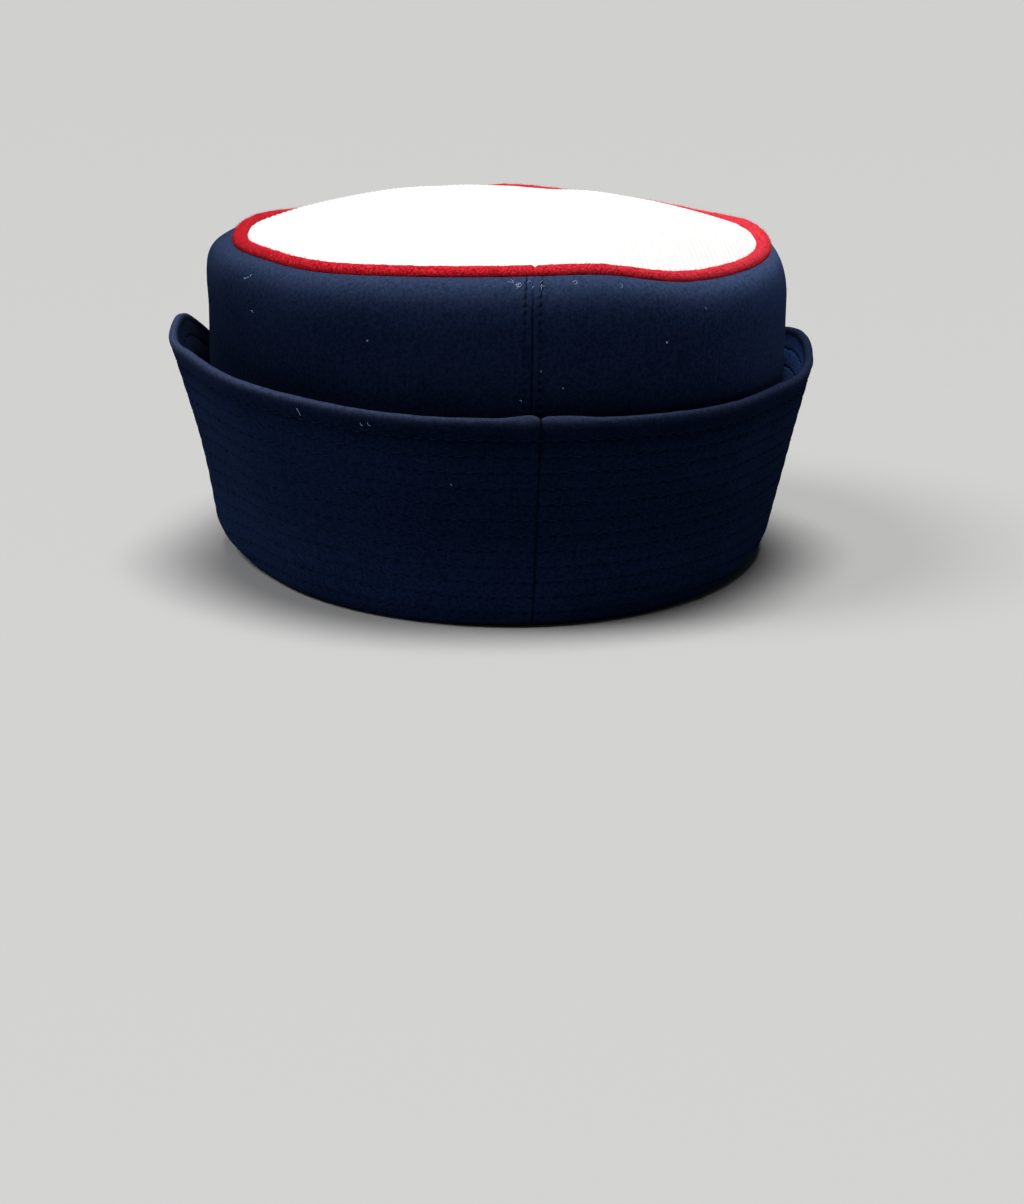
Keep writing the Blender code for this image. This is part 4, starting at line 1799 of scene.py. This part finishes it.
@dataclass(frozen=True)
class PhotoCamera:
    """The camera, at the photograph's angle to the hat.

    Attributes:
        distance, height: Distance in plan from the crown's middle, and height over the floor.
        bearing: Angle in plan from the centre back towards the wearer's left.
        turn, tilt, roll: How far it looks to its left of the crown's middle, down, and is rolled, in degrees.
        lens, sensor: Focal length, and the sensor's size along the picture's long side, in mm.
    """

    distance: float = 0.9991
    height: float = 0.2585
    bearing: float = 5.5
    turn: float = 0.38
    tilt: float = 15.6
    roll: float = 0.5
    lens: float = 85.31
    sensor: float = 36.0

    def place(self, plan: HatPlan) -> None:
        """Make the camera and look through it.

        Args:
            plan: Where the crown's middle is.
        """
        data = bpy.data.cameras.new("camera")
        data.lens = self.lens
        data.sensor_width = self.sensor
        data.sensor_fit = "AUTO"
        data.clip_start = 0.05
        data.clip_end = 60.0
        bearing = math.radians(self.bearing)
        heading = math.radians(self.bearing + self.turn)
        tilt = math.radians(self.tilt)
        look = Vector((-math.sin(heading) * math.cos(tilt), -math.cos(heading) * math.cos(tilt),
                       -math.sin(tilt)))
        camera = put_in_scene("camera", data)
        camera.location = (plan.centre[0] + self.distance * math.sin(bearing),
                           plan.centre[1] + self.distance * math.cos(bearing), self.height)
        level = look.to_track_quat("-Z", "Y").to_matrix()
        camera.rotation_euler = (level @ Matrix.Rotation(math.radians(self.roll), 3, "Z")).to_euler()
        bpy.context.scene.camera = camera


@dataclass(frozen=True)
class SoftBox:
    """A soft studio light.

    Attributes:
        name: Its name.
        spot, target: Where it stands, and what it points at.
        size, power: The side of its square face, and its power in watts.
    """

    name: str
    spot: tuple[float, float, float]
    target: tuple[float, float, float]
    size: float
    power: float

    def place(self) -> None:
        """Make the light."""
        data = bpy.data.lights.new(self.name, "AREA")
        data.shape = "SQUARE"
        data.size = self.size
        data.energy = self.power
        light = put_in_scene(self.name, data)
        light.location = self.spot
        light.rotation_euler = (Vector(self.target) - Vector(self.spot)).to_track_quat("-Z", "Y").to_euler()


@dataclass(frozen=True)
class Skylight:
    """A wide even light from far above.

    Attributes:
        name: Its name.
        tilt: How far it leans off straight down, towards the camera and the wearer's right, in degrees.
        angle, strength: How wide it is in the sky, in degrees, and how strong.
        color: Its colour.
    """

    name: str
    tilt: tuple[float, float]
    angle: float
    strength: float
    color: Color = (1.0, 1.0, 1.0)

    def place(self) -> None:
        """Make the light."""
        data = bpy.data.lights.new(self.name, "SUN")
        data.angle = math.radians(self.angle)
        data.energy = self.strength
        data.color = self.color
        light = put_in_scene(self.name, data)
        light.rotation_euler = (math.radians(-self.tilt[0]), math.radians(-self.tilt[1]), 0.0)
        light.location = (0.0, 0.0, 3.0)


class Studio:
    """The pale floor, the lights and the camera."""

    FLOOR_SIDE = 24.0
    FLOOR_COLOR: Color = (0.50, 0.50, 0.50)
    AIR_COLOR: Color = (0.80, 0.87, 1.0)
    AIR_STRENGTH = 0.03
    LIGHTS = (
        Skylight("skylight", (2.0, 1.0), 32.0, 3.12, (1.0, 0.995, 0.98)),
        Skylight("left_sky", (6.0, -38.0), 25.0, 1.22),
        SoftBox("low_fill", (1.5, 0.75, 0.15), (0.0, 0.02, 0.05), 0.8, 0.6),
    )

    def build(self, plan: HatPlan) -> None:
        """Make the whole studio.

        Args:
            plan: What the camera looks at.
        """
        self.make_floor()
        self.make_air()
        for light in self.LIGHTS:
            light.place()
        PhotoCamera().place(plan)
        bpy.context.scene.view_settings.view_transform = "Standard"

    def make_floor(self) -> None:
        """Make the floor that the hat rests on."""
        bm = bmesh.new()
        bmesh.ops.create_grid(bm, x_segments=1, y_segments=1, size=self.FLOOR_SIDE / 2)
        floor = finish_mesh("floor", bm)
        finish = Finish("floor_paint", 0.75, Specular_IOR_Level=0.2)
        finish.shader.inputs["Base Color"].default_value = (*self.FLOOR_COLOR, 1.0)
        floor.data.materials.append(finish.material)

    def make_air(self) -> None:
        """Make the even light all around."""
        world = bpy.data.worlds.new("studio")
        world.use_nodes = True
        background = world.node_tree.nodes["Background"]
        background.inputs["Color"].default_value = (*self.AIR_COLOR, 1.0)
        background.inputs["Strength"].default_value = self.AIR_STRENGTH
        bpy.context.scene.world = world


class Lint:
    """Bits of white lint on the crown and the brim."""

    THICKNESS = 0.045 * MM
    POINTS = 16
    TURN_STEP = 1.3

    def __init__(self, crown: Crown, brim: Brim) -> None:
        """Keep the cloths that it lies on."""
        self.crown = crown
        self.brim = brim

    def build(self) -> bpy.types.Object:
        """Make the lint's thin fibres.

        Returns:
            The piece.
        """
        curve = bpy.data.curves.new("lint", "CURVE")
        curve.dimensions = "3D"
        curve.bevel_depth = self.THICKNESS
        curve.bevel_resolution = 1
        curve.use_fill_caps = True
        for line in self.lines():
            spline = curve.splines.new("POLY")
            spline.points.add(len(line) - 1)
            for point, place in zip(spline.points, line):
                point.co = (*place, 1.0)
        return put_in_scene("lint", curve)

    def lines(self) -> list[Array]:
        """Lay out the fibres, which curl as they lie on the cloth.

        Returns:
            Each one's points.
        """
        lines = []
        on_crown = [(bit, self.crown.face(np.array([bit.angle]), np.array([bit.share])))
                    for bit in CROWN_FLUFF]
        on_brim = [(bit, self.brim.face(Side.OUTSIDE, np.array([bit.angle]), np.array([bit.share])))
                   for bit in BRIM_FLUFF]
        for number, (bit, (points, normals)) in enumerate(on_crown + on_brim):
            point, normal = points[0], normals[0]
            aside = np.cross(normal, (0.0, 0.0, 1.0))
            aside /= np.linalg.norm(aside)
            upward = np.cross(aside, normal)
            heading = np.linspace(0.0, bit.curl, self.POINTS) + self.TURN_STEP * number
            step = bit.length * MM / self.POINTS
            across = np.cumsum(np.cos(heading)) * step
            up = np.cumsum(np.sin(heading)) * step
            height = (0.10 + 0.30 * np.sin(np.linspace(0.0, math.pi, self.POINTS))) * MM
            lines.append(point + across[:, None] * aside + up[:, None] * upward + height[:, None] * normal)
        return lines


def main() -> None:
    """Build the hat's pieces around the frame, and the studio."""
    logging.basicConfig(level=logging.INFO, format="%(name)s: %(message)s")
    plan = HatPlan()
    Studio().build(plan)

    crown, brim, panel, piping = Crown(plan), Brim(plan), TopPanel(plan), Piping(plan)
    navy_thread = Thread("navy_thread", (0.0012, 0.0030, 0.0110), (0.0046, 0.0095, 0.0310)).build()
    # Partly the thread's own colour, partly a painted glint: lighter than the cloth so the quilting reads as
    # lit dashes.
    quilting_thread = Thread("quilting_thread", (0.0042, 0.0084, 0.0290), (0.0170, 0.0285, 0.0720)).build()
    red_wool = RedWool("red_piping_wool", girth=piping.girth()).build()
    red_fibres = RedWool("red_fibres", deep=(0.55, 0.012, 0.022), bright=(0.90, 0.06, 0.09)).build()
    hand_over(crown.build_band(), None, Slot.CROWN, "crown_band")
    hand_over(crown.build_stitches(), navy_thread, Slot.CROWN)
    hand_over(brim.build_cloth(), None, Slot.BRIM, "brim")
    for side in Side:
        hand_over(brim.build_stitches(side), quilting_thread, Slot.BRIM)
    hand_over(panel.build(), WhiteRib("white_rib", panel.rib).build(), Slot.WHITE, "top_panel")
    hand_over(piping.build_core(), red_wool, Slot.RED, "top_piping")
    hand_over(piping.build_fibres(), red_fibres, Slot.RED)
    pale_lint = Thread("pale_lint", (0.46, 0.60, 0.92), (0.70, 0.83, 1.0), 0.9, 0.1).build()
    hand_over(Lint(crown, brim).build(), pale_lint, None)


if __name__ == "__main__":
    main()
